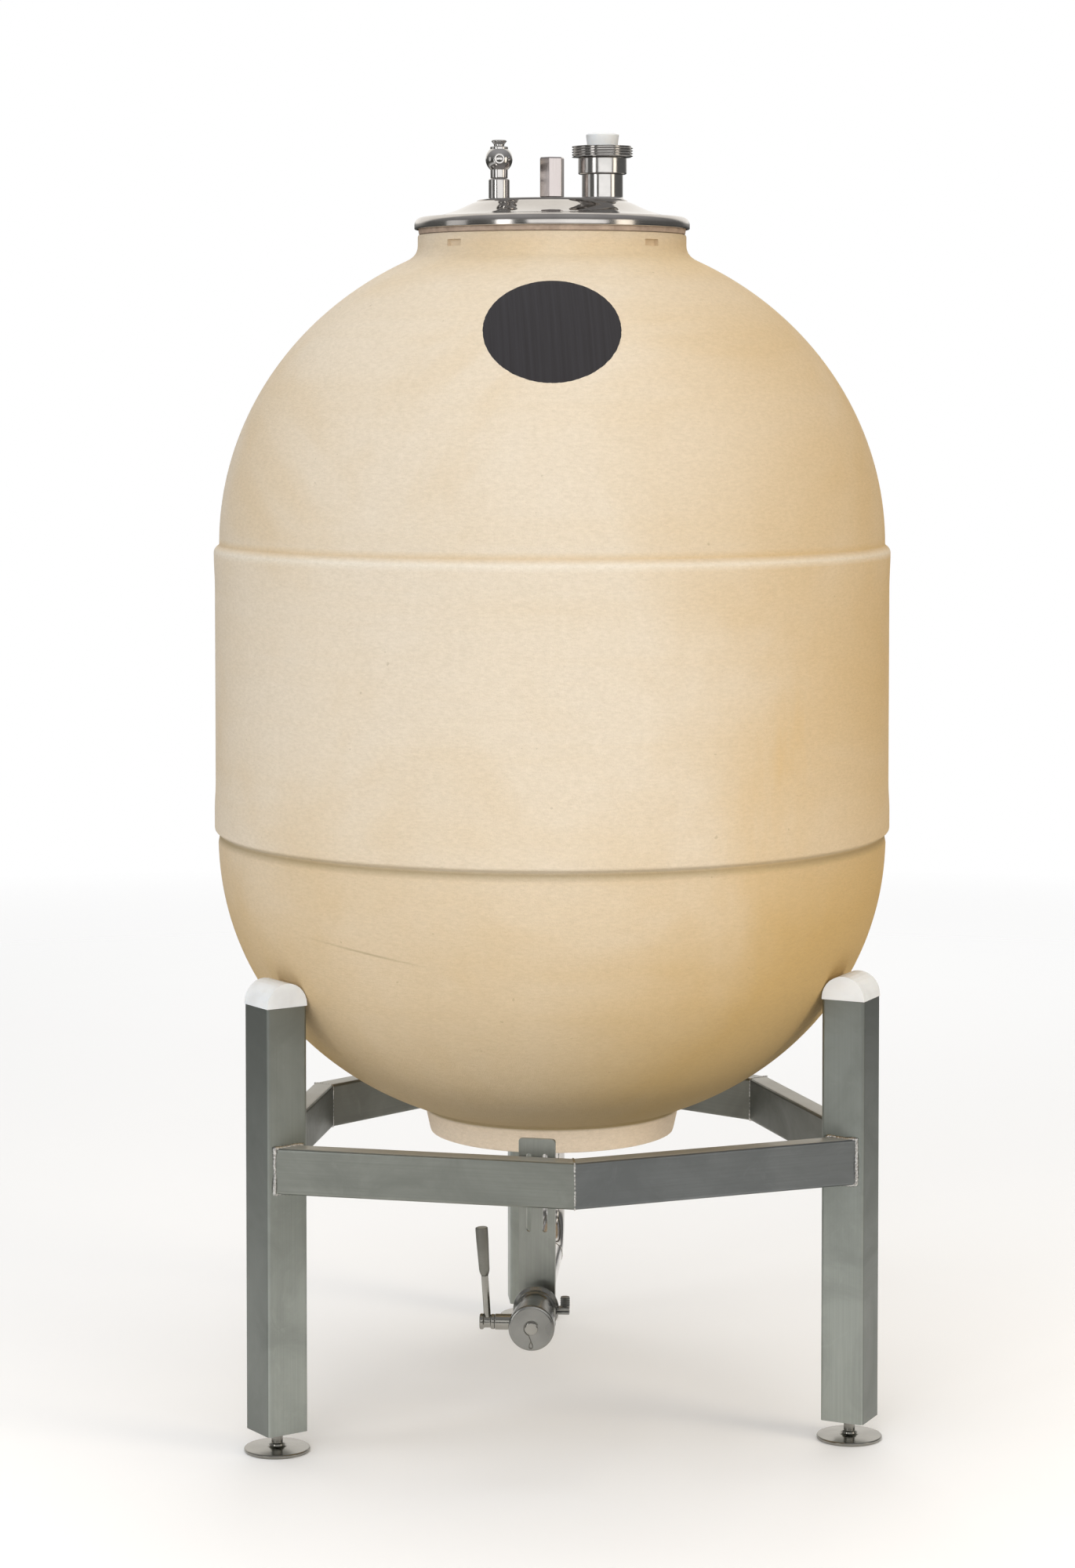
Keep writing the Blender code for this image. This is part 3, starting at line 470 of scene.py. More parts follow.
def brushed_material(name, scale, turn=0.0, tint=(0.395, 0.422, 0.39), shade_height=0.0):
    """Satin stainless steel, brushed along one direction, with faint clouds and dust on its tops,
    the dust light enough to stand as painted light along them.

    With a height given it has painted shade: darker towards that height and on the faces turned away from the
    tank.
    """
    steel = Shader(name, 0.40, 1.0, bump_depth=0.0004)
    lines = steel.streaks(scale, turn, 4.0, 0.7)
    clouds = steel.noise(9.0, 5.0, roughness=0.65, distortion=0.8)
    smears = steel.noise(24.0, 4.0, roughness=0.65, distortion=1.2)
    dark = tuple(value * 0.78 for value in tint)
    light = tuple(min(value * 1.18, 1.0) for value in tint)
    tone = steel.tint(dark, light, steel.ramp(lines, 0.25, 0.75, 0.22, 0.68))
    tone = steel.tint(tone, dark, steel.ramp(clouds, 0.42, 0.62, 0.0, 0.60))
    tone = steel.tint(tone, light, steel.ramp(smears, 0.58, 0.74, 0.0, 0.35))
    if shade_height:
        # Painted shade: darker towards the given height and on the faces turned away from the tank
        painted_shade = steel.ramp(steel.axis("Z"), shade_height * 0.2, shade_height, 0.0, 0.62)
        painted_shade = steel.math("MAXIMUM", painted_shade, steel.ramp(steel.facing_out(), 0.75, 0.90, 0.0, 0.75))
        tone = steel.tint(tone, tuple(value * 0.40 for value in tint), painted_shade)
    up = steel.facing_up()
    # Dust on the upward faces, also standing as painted light on them
    tone = steel.tint(tone, DUST_AND_TOP_LIGHT, up, 0.75)
    steel.fill(steel.base.inputs["Metallic"], steel.math("SUBTRACT", 1.0, steel.product(up, 0.60)))
    patches = steel.ramp(clouds, 0.3, 0.7, 0.34, 0.48)
    rough = steel.math("ADD", patches, steel.ramp(lines, 0.2, 0.8, -0.03, 0.04))
    return steel.finish("satin_steel", tone, lines, 0.12, rough)


def polished_material(name, turned=False, tint=(0.66, 0.64, 0.62), roughness=0.11):
    """Polished stainless steel with faint tool marks. On turned pieces the marks run round the axis."""
    steel = Shader(name, roughness, 1.0, bump_depth=0.0002)
    marks = steel.streaks((14.0, 14.0, 900.0) if turned else (500.0, 500.0, 500.0))
    clouds = steel.noise(22.0, 3.0, roughness=0.6)
    tone = steel.tint(tint, tuple(value * 0.82 for value in tint), steel.ramp(clouds, 0.35, 0.7))
    haze = steel.ramp(clouds, 0.3, 0.75, roughness, roughness + 0.10)
    return steel.finish("polished_steel", tone, marks, 0.12 if turned else 0.03, haze)


def column_material():
    """Drawn steel bar, satin and smooth, with faint marks along its length."""
    steel = Shader("drawn_column", 0.20, 1.0, bump_depth=0.0001)
    lines = steel.streaks((600.0, 600.0, 12.0))
    tone = steel.tint((0.58, 0.52, 0.505), (0.66, 0.60, 0.585), steel.ramp(lines, 0.3, 0.7))
    return steel.finish("satin_steel", tone, lines, 0.10, steel.ramp(lines, 0.3, 0.7, 0.17, 0.22))


def lid_material():
    """Mirror-polished on top, and a little duller on the rolled rim, with fine turning marks round it."""
    steel = Shader("mirror_lid", 0.05, 1.0, bump_depth=0.0001)
    spread = steel.length(steel.stretched((1.0, 1.0, 0.0)))
    rings = steel.streaks((3.0, 3.0, 900.0))
    haze = steel.noise(16.0, 4.0, roughness=0.6)
    tone = steel.tint((0.60, 0.57, 0.54), (0.50, 0.47, 0.445), steel.ramp(haze, 0.35, 0.7))
    rim = steel.ramp(spread, 0.172, 0.184, 0.03, 0.13)
    rough = steel.math("ADD", rim, steel.ramp(haze, 0.35, 0.75, 0.0, 0.05))
    return steel.finish("polished_steel", tone, rings, 0.10, rough)


def weld_material():
    """A weld bead: rippled, with a painted highlight on its crests and painted shade in the hollows between
    them.
    """
    bead = Shader("weld_bead", 0.30, 1.0, bump_depth=0.0006)
    ripple = bead.noise(420.0, 3.0, roughness=0.7)
    # Painted highlight on the ripples' crests and painted shade in their hollows
    tone = bead.tint((0.34, 0.325, 0.30), (0.80, 0.795, 0.78), bead.ramp(ripple, 0.35, 0.65))
    return bead.finish("satin_steel", tone, ripple, 0.7, bead.ramp(ripple, 0.3, 0.7, 0.42, 0.24))


def plastic_material():
    """Milky white plastic, soft sheen, with fine sawing marks and a little dust."""
    milk = Shader("milky_plastic", 0.42, bump_depth=0.0003, Subsurface_Weight=0.25,
                  Subsurface_Radius=(0.006, 0.005, 0.004))
    marks = milk.streaks((300.0, 300.0, 40.0))
    dust = milk.ramp(milk.noise(30.0, 3.0), 0.45, 0.75)
    tone = milk.tint((0.80, 0.815, 0.82), (0.72, 0.73, 0.73), dust)
    return milk.finish("white_plastic", tone, marks, 0.25, milk.ramp(marks, 0.3, 0.7, 0.38, 0.52))


def seal_material():
    """Brown sealing compound, matte, uneven."""
    seal = Shader("brown_seal", 0.65, bump_depth=0.0008)
    uneven = seal.noise(60.0, 4.0, roughness=0.6)
    tone = seal.tint((0.31, 0.235, 0.185), (0.50, 0.39, 0.31), seal.ramp(uneven, 0.3, 0.7))
    return seal.finish("seal_rubber", tone, uneven, 0.4)


CLAY = clay_material()
LABEL = label_material()
POLISHED = polished_material("polished_steel")
MIRROR = lid_material()
LATHED = polished_material("lathed_steel", turned=True)
UPRIGHT = brushed_material("brushed_upright", (420.0, 420.0, 5.0), shade_height=0.56)
PLATE = brushed_material("brushed_plate", (260.0, 260.0, 9.0), tint=(0.36, 0.37, 0.335))
COLUMN = column_material()
SATIN = polished_material("satin_valve", tint=(0.27, 0.268, 0.25), roughness=0.20)
TURNED_SATIN = polished_material("turned_satin", turned=True, tint=(0.33, 0.32, 0.29), roughness=0.16)
GRIP = brushed_material("bead_blasted_grip", (350.0, 350.0, 350.0), tint=(0.22, 0.215, 0.19))
WELD = weld_material()
MILKY = plastic_material()
SEAL = seal_material()


# Mesh helpers


def linked(name, data):
    """A new object in the scene."""
    thing = bpy.data.objects.new(name, data)
    bpy.context.scene.collection.objects.link(thing)
    return thing


def coat(thing, material):
    """Gives a piece its only material."""
    thing.data.materials.clear()
    thing.data.materials.append(material)


def place(thing, finish, nodes=(), body="tank", angle=32.0):
    """Gives a finished piece its looks and lets it ride on its body."""
    material, slot = finish
    coat(thing, material)
    thing.data.shade_smooth()
    thing.data.set_sharp_from_angle(angle=radians(angle))
    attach(thing, body)
    if nodes:
        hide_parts(*nodes)


def object_from(name, bm, matrix=None):
    """An object whose place is in its vertices, as the frame's own are."""
    if matrix is not None:
        bmesh.ops.transform(bm, matrix=matrix, verts=bm.verts)
    mesh = bpy.data.meshes.new(name)
    bm.to_mesh(mesh)
    bm.free()
    return linked(name, mesh)


def aimed(point, direction):
    """The matrix that puts local Z along a direction at a point."""
    turn = Vector(direction).to_track_quat("Z", "Y").to_matrix().to_4x4()
    return Matrix.Translation(point) @ turn


def standing(centre):
    """The matrix that puts the local origin on the floor under a centre."""
    return Matrix.Translation((centre.x, centre.y, 0.0))


def add_ring(bm, radii, height, first=0.0):
    """A ring of vertices about local Z, one for each radius, from a first angle in degrees."""
    angles = [radians(first) + 2 * pi * i / len(radii) for i in range(len(radii))]
    return [bm.verts.new((r * cos(a), r * sin(a), height)) for r, a in zip(radii, angles)]


def skin(bm, rings, capped=False):
    """Joins each ring of vertices to the next one with faces, and closes both ends if asked to."""
    for first, second in zip(rings, rings[1:]):
        for i in range(len(first)):
            j = (i + 1) % len(first)
            corners = list(dict.fromkeys((first[i], first[j], second[j], second[i])))
            if len(corners) > 2:
                bm.faces.new(corners)
    if capped:
        bm.faces.new(list(reversed(rings[0])))
        bm.faces.new(rings[-1])
    bmesh.ops.recalc_face_normals(bm, faces=bm.faces)


def turned_bmesh(profile, sides, closed=False):
    """Turns a profile of (radius, height) points about local Z. An open one starts and ends on the axis."""
    bm = bmesh.new()
    rings = []
    for radius, height in profile:
        if radius < 1e-7:
            rings.append([bm.verts.new((0.0, 0.0, height))] * sides)
        else:
            rings.append(add_ring(bm, [radius] * sides, height))
    skin(bm, rings + rings[:1] if closed else rings)
    return bm


def block_bmesh(size, edge):
    """A block with rounded edges."""
    bm = bmesh.new()
    bmesh.ops.create_cube(bm, size=1.0, matrix=Matrix.Diagonal((*size, 1.0)))
    bmesh.ops.bevel(bm, geom=bm.edges, offset=edge, segments=2, profile=0.5, affect="EDGES")
    return bm


def bend_point(start, corner, end, t):
    """A point on the bend from a start to an end that rounds off a corner."""
    return tuple(start * (1 - t) ** 2 + corner * 2 * t * (1 - t) + end * t**2)


def softened(profile, reach, closed=False, steps=3):
    """A profile with each corner cut into a small round of up to this reach.

    A point just outside each round keeps the walls beside it straight where the surface is shaded smooth.
    """
    result = []
    count = len(profile)
    for i, point in enumerate(profile):
        if not closed and i in (0, count - 1):
            result.append(point)
            continue
        here = Vector(point)
        before = Vector(profile[i - 1]) - here
        after = Vector(profile[(i + 1) % count]) - here
        bend = before.angle(after) if before.length > 0 and after.length > 0 else pi
        if bend > radians(165.0):
            result.append(point)
            continue
        cut = min(reach, before.length * 0.30, after.length * 0.30)
        start, end = here + before.normalized() * cut, here + after.normalized() * cut
        result.append(tuple(here + before.normalized() * cut * 1.5))
        result += [bend_point(start, here, end, step / steps) for step in range(steps + 1)]
        result.append(tuple(here + after.normalized() * cut * 1.5))
    return result


def turned(name, profile, finish, nodes=(), matrix=None, sides=ROUND_SIDES, closed=False, reach=0.0006,
           body="tank"):
    """A turned piece with softened edges, put in its place by a matrix."""
    shape = softened(profile, reach, closed) if reach else profile
    place(object_from(name, turned_bmesh(shape, sides, closed), matrix), finish, nodes, body)


def tube_bmesh(path, radii, sides=8, closed=False):
    """A tube along a path, with a radius for each point."""
    bm = bmesh.new()
    count = len(path)
    rings = []
    side = None
    for i, point in enumerate(path):
        ahead = path[(i + 1) % count] if closed or i < count - 1 else point
        behind = path[i - 1] if closed or i else point
        run = (ahead - behind).normalized()
        if side is None:
            side = run.orthogonal().normalized()
        side = (side - run * side.dot(run)).normalized()
        other = run.cross(side)
        ring = []
        for k in range(sides):
            angle = 2 * pi * k / sides
            ring.append(bm.verts.new(point + (side * cos(angle) + other * sin(angle)) * radii[i]))
        rings.append(ring)
    skin(bm, rings + rings[:1] if closed else rings, capped=not closed)
    return bm


def weld(name, corners, radius=BEAD_RADIUS, seed=0.0):
    """A closed weld bead from corner to corner, with the welder's ripples and a wandering width."""
    noise.seed_set(BEAD_SEED)
    path = []
    for start, end in zip(corners, corners[1:] + corners[:1]):
        pieces = max(2, round((end - start).length / BEAD_STEP))
        path += [start.lerp(end, i / pieces) for i in range(pieces)]
    radii = []
    for i, point in enumerate(path):
        wander = noise.noise(point * 90.0 + Vector((seed, 0.0, 0.0)))
        radii.append(radius * (1.0 + 0.14 * sin(i * 1.9) + 0.34 * wander))
        drift = noise.noise_vector(point * 60.0 + Vector((0.0, seed, 0.0)))
        path[i] = point + drift * radius * 0.45
    place(object_from(name, tube_bmesh(path, radii, closed=True)), WELD, angle=70.0)


def arc(centre, radius, first, last, steps):
    """Points on a circle from one angle to another, in degrees."""
    turn = (last - first) / steps
    angles = [radians(first + turn * i) for i in range(steps + 1)]
    return [(centre[0] + radius * cos(a), centre[1] + radius * sin(a)) for a in angles]


# Clay


def dome_curve(radius, height, power, level, near, far, steps):
    """Points on a dome's meridian between two radii. A dome with a negative height hangs from its level."""
    first, last = [acos((r / radius) ** (power / 2)) for r in (near, far)]
    angles = [first + (last - first) * i / steps for i in range(steps + 1)]
    bend = 2 / power
    return [(radius * cos(a) ** bend, level + height * abs(sin(a)) ** bend) for a in angles]


def eased(start, end, steps):
    """Points from one to another along a soft S, steep in the middle."""
    points = []
    for i in range(1, steps + 1):
        t = i / steps
        ease = t * t * (3 - 2 * t)
        points.append((start[0] + (end[0] - start[0]) * ease, start[1] + (end[1] - start[1]) * t))
    return points


def neck_profile():
    """The neck's outside, down to where it meets the upper dome in a fillet, and the dome itself."""
    corner = BAND_TOP_Z + TOP_DOME_HEIGHT * sqrt(1 - (NECK_RADIUS / TOP_DOME_RADIUS) ** 2)
    points = [(NECK_RADIUS - 0.0035, NECK_TOP_Z), (NECK_RADIUS - 0.001, NECK_TOP_Z - 0.001)]
    points += [(NECK_RADIUS, NECK_TOP_Z - 0.0035), (NECK_RADIUS, corner + NECK_FILLET * 0.9)]
    shape = (TOP_DOME_RADIUS, TOP_DOME_HEIGHT, 2.0, BAND_TOP_Z)
    dome = dome_curve(*shape, NECK_RADIUS + NECK_FILLET, TOP_DOME_RADIUS, 40)
    ends = Vector(points[-1]), Vector((NECK_RADIUS, corner)), Vector(dome[0])
    return points + [bend_point(*ends, i / 7) for i in range(1, 7)] + dome


def band_profile():
    """The band's outside: rounded lips at both edges, and a slightly narrower wall between them."""
    points = arc((LIP_RADIUS - LIP_ROUND, BAND_TOP_Z - LIP_ROUND - 0.001), LIP_ROUND, 66.0, 0.0, 9)
    points += eased(points[-1], (BAND_RADIUS, BAND_TOP_Z - 0.06), 6)
    points += [(BAND_RADIUS, BAND_BOTTOM_Z + 0.11), (BAND_RADIUS, BAND_BOTTOM_Z + 0.07)]
    points += eased(points[-1], (LIP_RADIUS, BAND_BOTTOM_Z + 0.032), 6)
    points += [(LIP_RADIUS, BAND_BOTTOM_Z + 0.02)]
    points += arc((LIP_RADIUS - 0.006, BAND_BOTTOM_Z + 0.0085), 0.006, 0.0, -80.0, 8)
    corner = ((0.001, 0.0018), (0.0024, 0.0), (0.0022, -0.002))
    return points + [(BASE_DOME_RADIUS - inward, BAND_BOTTOM_Z + rise) for inward, rise in corner]


def base_profile():
    """The lower dome's outside and the foot ring under it, in to the outlet."""
    dome = (BASE_DOME_RADIUS, -BASE_DOME_HEIGHT, BASE_DOME_POWER, BAND_BOTTOM_Z)
    points = dome_curve(*dome, BASE_DOME_RADIUS, FOOT_RING_TOP_RADIUS, 44)
    points = [point for point in points if point[1] < BAND_BOTTOM_Z - 0.006]
    foot = points[-1]
    points += [(foot[0] - 0.001, foot[1] - 0.002), (foot[0] - 0.0015, foot[1] - 0.004)]
    points += [(FOOT_RING_RADIUS, FOOT_RING_Z + 0.004), (FOOT_RING_RADIUS - 0.001, FOOT_RING_Z + 0.0012)]
    points += [(FOOT_RING_RADIUS - 0.004, FOOT_RING_Z), (FOOT_RING_INNER_RADIUS, FOOT_RING_Z)]
    return points + dome_curve(*dome, FOOT_RING_INNER_RADIUS, OUTLET_RADIUS, 4)


def inside_profile():
    """The vessel's inside, from the outlet up to the neck's top."""
    radius = BASE_DOME_RADIUS - WALL
    dome = (radius, WALL - BASE_DOME_HEIGHT, BASE_DOME_POWER, BAND_BOTTOM_Z)
    points = dome_curve(*dome, OUTLET_RADIUS, radius, 16)
    radius = TOP_DOME_RADIUS - WALL
    dome = (radius, TOP_DOME_HEIGHT - WALL, 2.0, BAND_TOP_Z)
    points += dome_curve(*dome, radius, NECK_RADIUS - WALL, 14)
    return points + [(NECK_RADIUS - WALL, NECK_TOP_Z)]


def make_vessel():
    """One clay body, with four small recesses cut into the neck."""
    profile = neck_profile() + band_profile() + base_profile() + inside_profile()
    thing = object_from("clay_vessel", turned_bmesh(profile, VESSEL_SIDES, closed=True))
    cutters = []
    for azimuth in NOTCH_AZIMUTHS:
        turn = Matrix.Rotation(radians(azimuth - 90.0), 4, "Z")
        spot = Matrix.Translation(polar(azimuth, NECK_RADIUS, NOTCH_Z)) @ turn
        cutter = object_from("notch_cutter", block_bmesh(NOTCH_SIZE, 0.0012), spot)
        cutters.append(cutter)
        cut = thing.modifiers.new("notch", "BOOLEAN")
        cut.operation = "DIFFERENCE"
        cut.solver = "EXACT"
        cut.object = cutter
    bpy.context.view_layer.update()
    mesh = bpy.data.meshes.new_from_object(thing.evaluated_get(bpy.context.evaluated_depsgraph_get()))
    thing.modifiers.clear()
    thing.data = mesh
    for cutter in cutters:
        bpy.data.objects.remove(cutter)
    place(thing, CLAY, ("upper_dome", "middle_band", "lower_dome"), angle=42.0)


def divided(vector, factors):
    """A vector with each of its parts divided by a factor."""
    return Vector([part / factor for part, factor in zip(vector, factors)])


def make_label():
    """A round plain label that follows the upper dome."""
    level = (LABEL_Z - BAND_TOP_Z) / TOP_DOME_HEIGHT
    middle = polar(LABEL_AZIMUTH, TOP_DOME_RADIUS * sqrt(1 - level * level), LABEL_Z)
    centre = UP * BAND_TOP_Z
    stretch = Vector((TOP_DOME_RADIUS, TOP_DOME_RADIUS, TOP_DOME_HEIGHT))
    squares = [part**2 for part in stretch]
    outward = divided(middle - centre, squares).normalized()
    across = UP.cross(outward).normalized()
    along = outward.cross(across)
    drop = divided(outward, stretch)
    bm = bmesh.new()
    rings = [[bm.verts.new(middle + outward * LABEL_LIFT)] * LABEL_SIDES]
    for number in range(1, LABEL_RINGS + 1):
        reach = LABEL_RADIUS * number / LABEL_RINGS
        lifted = -0.0003 if number == LABEL_RINGS else LABEL_LIFT
        ring = []
        for i in range(LABEL_SIDES):
            angle = 2 * pi * i / LABEL_SIDES
            point = middle + (across * cos(angle) + along * sin(angle) * LABEL_STRETCH) * reach - centre
            flat = divided(point, stretch)
            half = flat.dot(drop) / drop.dot(drop)
            shift = -half + sqrt(half * half - (flat.dot(flat) - 1) / drop.dot(drop))
            surface = point + outward * shift
            ring.append(bm.verts.new(surface + divided(surface, squares).normalized() * lifted + centre))
        rings.append(ring)
    skin(bm, rings)
    place(object_from("plain_label", bm), LABEL, angle=60.0)


# Lid and fittings


def make_lid():
    rim, top, _, radius = size_of("lid")
    upper = [(0.0, top), (PLATFORM_RADIUS - 0.003, top), (PLATFORM_RADIUS - 0.0018, top - 0.0003)]
    upper += [(PLATFORM_RADIUS - 0.0014, top - 0.002), (PLATFORM_RADIUS, top - 0.0026)]
    upper += [(PLATFORM_RADIUS + 0.005, top - 0.0042), (PLATFORM_RADIUS + 0.01, top - 0.0064)]
    for i in range(1, 12):
        t = i / 11
        reach = PLATFORM_RADIUS + 0.01 + (radius - 0.012 - PLATFORM_RADIUS - 0.01) * t
        sag = (top - 0.0064) + (rim + 0.0165 - top + 0.0064) * (1 - (1 - t) ** 1.9)
        upper.append((reach, sag))
    centre = (radius - 0.0105, rim + 0.006)
    upper += arc(centre, 0.0105, 78.0, 0.0, 9)
    upper += [(radius, rim + 0.003)]
    upper += arc((radius - 0.0012, rim + 0.0012), 0.0012, 0.0, -90.0, 4)
    lower = [(max(reach - 0.0012, 0.0), height - 0.0024) for reach, height in reversed(upper[1:-8])]
    lower.append((0.0, top - 0.0024))
    skirt = [(radius - 0.0026, rim), (radius - 0.0027, rim + 0.006)]
    bm = turned_bmesh(upper + skirt + lower, LID_SIDES)
    place(object_from("polished_lid", bm), MIRROR, ("lid",), angle=50.0)


def make_seal():
    low, high, _, radius = size_of("lid_seal")
    inner = radius - 0.016
    ring = [(radius - 0.0006, high - 0.0025), (radius, low + 0.0045), (radius - 0.0007, low)]
    ring += [(inner, low), (inner, high)]
    turned("brown_seal", ring, SEAL, ("lid_seal",), sides=LID_SIDES, closed=True)


def make_column():
    """The six-sided bar, with a small chamfer at its top and a narrower foot."""
    low, high, centre, _ = size_of("clamp_column")
    corner = COLUMN_WIDTH / 2 / cos(radians(30.0))
    bm = bmesh.new()
    levels = ((low, 0.90), (low + 0.005, 1.0), (high - 0.0018, 1.0), (high, 0.95))
    rings = [add_ring(bm, [corner * share] * 6, height, COLUMN_TURN) for height, share in levels]
    skin(bm, rings, capped=True)
    uprights = [e for e in bm.edges if abs(e.verts[0].co.z - e.verts[1].co.z) > 0.001]
    bmesh.ops.bevel(bm, geom=uprights, offset=0.0007, segments=2, profile=0.5, affect="EDGES")
    bmesh.ops.recalc_face_normals(bm, faces=bm.faces)
    place(object_from("hex_column", bm, standing(centre)), COLUMN, ("clamp_column",), angle=15.0)


def make_vent():
    low, high, centre, radius = size_of("vent_stem")
    spot = standing(centre)
    stem = [(0.0, high), (radius - 0.0008, high), (radius, high - 0.0012), (radius, low + 0.0015)]
    stem += [(radius + 0.0022, low + 0.0004), (radius + 0.0022, low), (0.0, low)]
    turned("vent_stem_turned", stem, LATHED, ("vent_stem",), spot)

    low, high, _, _ = size_of("vent_body")
    middle = high - 0.0172
    throat = 0.0117
    body = [(0.0, high), (0.0118, high), (0.0123, middle + 0.0166), (0.0123, middle + 0.0142)]
    body += arc((0.0, middle), VENT_BALL_RADIUS, 48.0, -50.0, 22)
    body += [(throat + 0.0002, middle - 0.0158), (throat, low + 0.0016), (throat - 0.0008, low)]
    body += [(0.0, low)]
    turned("vent_ball", body, POLISHED, ("vent_body",), spot, reach=0.0003)
    make_vent_port(Vector((centre.x, centre.y, middle)))

    bottom, top, _, knob = size_of("vent_knob")
    shape = [(0.0, top - 0.0006), (knob - 0.003, top - 0.0006), (knob - 0.0014, top)]
    shape += [(knob - 0.0003, top - 0.0006), (knob, top - 0.0018), (knob - 0.0012, top - 0.0034)]
    shape += [(0.0072, bottom + 0.003), (0.007, bottom + 0.0002), (0.0, bottom)]
    turned("vent_knob_turned", shape, POLISHED, ("vent_knob",), spot, reach=0.0003)


def make_vent_port(middle):
    """A small ring with a plug in it, on the front of the vent's ball."""
    front = polar(268.0)
    port = middle + front * 0.015
    ring = [(0.0047, 0.0052), (0.0068, 0.0052), (0.0074, 0.0044), (0.0078, 0.0), (0.006, -0.002)]
    ring += [(0.0047, -0.002)]
    turned("vent_port_ring", ring, POLISHED, (), aimed(port, front), SMALL_SIDES, closed=True, reach=0.0003)
    pin = [(0.0, 0.003), (0.003, 0.0022), (0.004, 0.0004), (0.0046, 0.0), (0.0, 0.0)]
    turned("vent_port_plug", pin, LATHED, (), aimed(port + front * 0.0007, front), SMALL_SIDES, reach=0.0)


def thread_bmesh(low, high, radius):
    """A screw thread round the filler's bore, cut off level at both ends."""
    pitch = (high - low - 0.0008) / THREAD_TURNS
    root = radius - THREAD_DEPTH
    sides = ROUND_SIDES * 2
    bm = bmesh.new()
    columns = []
    for i in range(sides):
        share = i / sides
        angle = 2 * pi * share
        points = []
        for turn in range(-1, THREAD_TURNS + 1):
            for step, reach in THREAD_SECTION:
                height = low + 0.0004 + (turn + step + share) * pitch
                out = root + (radius - root) * reach * (low < height < high)
                points.append((out, min(max(height, low), high)))
        points += [(FILLER_BORE_RADIUS, high), (FILLER_BORE_RADIUS, low)]
        columns.append([bm.verts.new((out * cos(angle), out * sin(angle), height)) for out, height in points])
    count = len(columns[0])
    for i in range(sides):
        here, after = columns[i], columns[(i + 1) % sides]
        # The last column meets the first one a turn higher, and the faces past the ends are left out
        wrap = len(THREAD_SECTION) if i == sides - 1 else 0
        for k in range(count):
            j = (k + 1) % count
            if not wrap or k + wrap + 1 < count - 2:
                bm.faces.new((here[k], here[j], after[j + wrap], after[k + wrap]))
    bmesh.ops.remove_doubles(bm, verts=bm.verts, dist=0.00001)
    bmesh.ops.holes_fill(bm, edges=bm.edges, sides=0)
    bmesh.ops.recalc_face_normals(bm, faces=bm.faces)
    return bm


def make_filler():
    bore = FILLER_BORE_RADIUS
    low, high, centre, radius = size_of("filler_tube")
    spot = standing(centre)
    tube = [(radius, high), (radius, low + 0.0035), (radius + 0.0012, low + 0.0018)]
    tube += [(radius + 0.0035, low), (bore, low), (bore, high)]
    turned("filler_tube_turned", tube, LATHED, ("filler_tube",), spot, closed=True)
    low, high, _, radius = size_of("filler_collar")
    collar = [(radius - 0.001, high), (radius, high - 0.0015), (radius, low + 0.0012)]
    collar += [(radius - 0.0012, low), (bore, low), (bore, high)]
    turned("filler_collar_turned", collar, LATHED, ("filler_collar",), spot, closed=True)
    low, high, _, radius = size_of("filler_thread")
    thread = object_from("filler_thread_cut", thread_bmesh(low, high, radius), spot)
    place(thread, POLISHED, ("filler_thread",), angle=60.0)
    low, high, _, radius = size_of("filler_bung")
    tip = radius - (high - low) * 0.125
    bung = [(0.0, high - 0.0004), (radius - 0.004, high), (radius, high - 0.0016), (tip, low)]
    bung += [(0.0, low)]
    turned("milky_bung", bung, MILKY, ("filler_bung",), spot, reach=0.0012)


make_vessel()
make_label()
make_lid()
make_seal()
make_column()
make_vent()
make_filler()


# Frame


def finish_node(name, finish):
    """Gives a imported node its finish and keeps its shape."""
    material, slot = finish
    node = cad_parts[name]
    coat(node, material)


def make_legs():
    for side in LEG_AZIMUTHS:
        finish_node(f"leg_{side}", UPRIGHT)
        finish_node(f"leg_{side}_end_plate", UPRIGHT)
        finish_node(f"pad_{side}", MILKY)
        _, high, centre, radius = size_of(f"foot_{side}")
        foot = [(0.0, high), (0.0075, high), (0.0075, 0.0112), (0.0098, 0.0102), (0.0104, 0.0078)]
        foot += [(0.0135, 0.0062), (radius - 0.0012, 0.005), (radius, 0.0038), (radius, 0.001)]
        foot += [(radius - 0.001, 0.0), (0.0, 0.0)]
        spot = standing(centre)
        turned(f"levelling_foot_{side}", foot, TURNED_SATIN, (f"foot_{side}",), spot, reach=0.0004)


def bar_run(corner_azimuth, side):
    """A bar's free corner, its seat on the leg, its direction and the leg face's normal."""
    leg_azimuth = LEG_AZIMUTHS[side]
    step = 1.0 if sin(radians(leg_azimuth - corner_azimuth)) > 0 else -1.0
    leg_centre = size_of(f"foot_{side}")[2]
    leg_centre.z = 0.0
    corner = polar(corner_azimuth, BAR_CORNER_RADIUS)
    leg_normal = polar(leg_azimuth - 90.0 * step)
    seat = leg_centre + leg_normal * TUBE_SIDE / 2
    return corner, seat, (seat - corner).normalized(), leg_normal


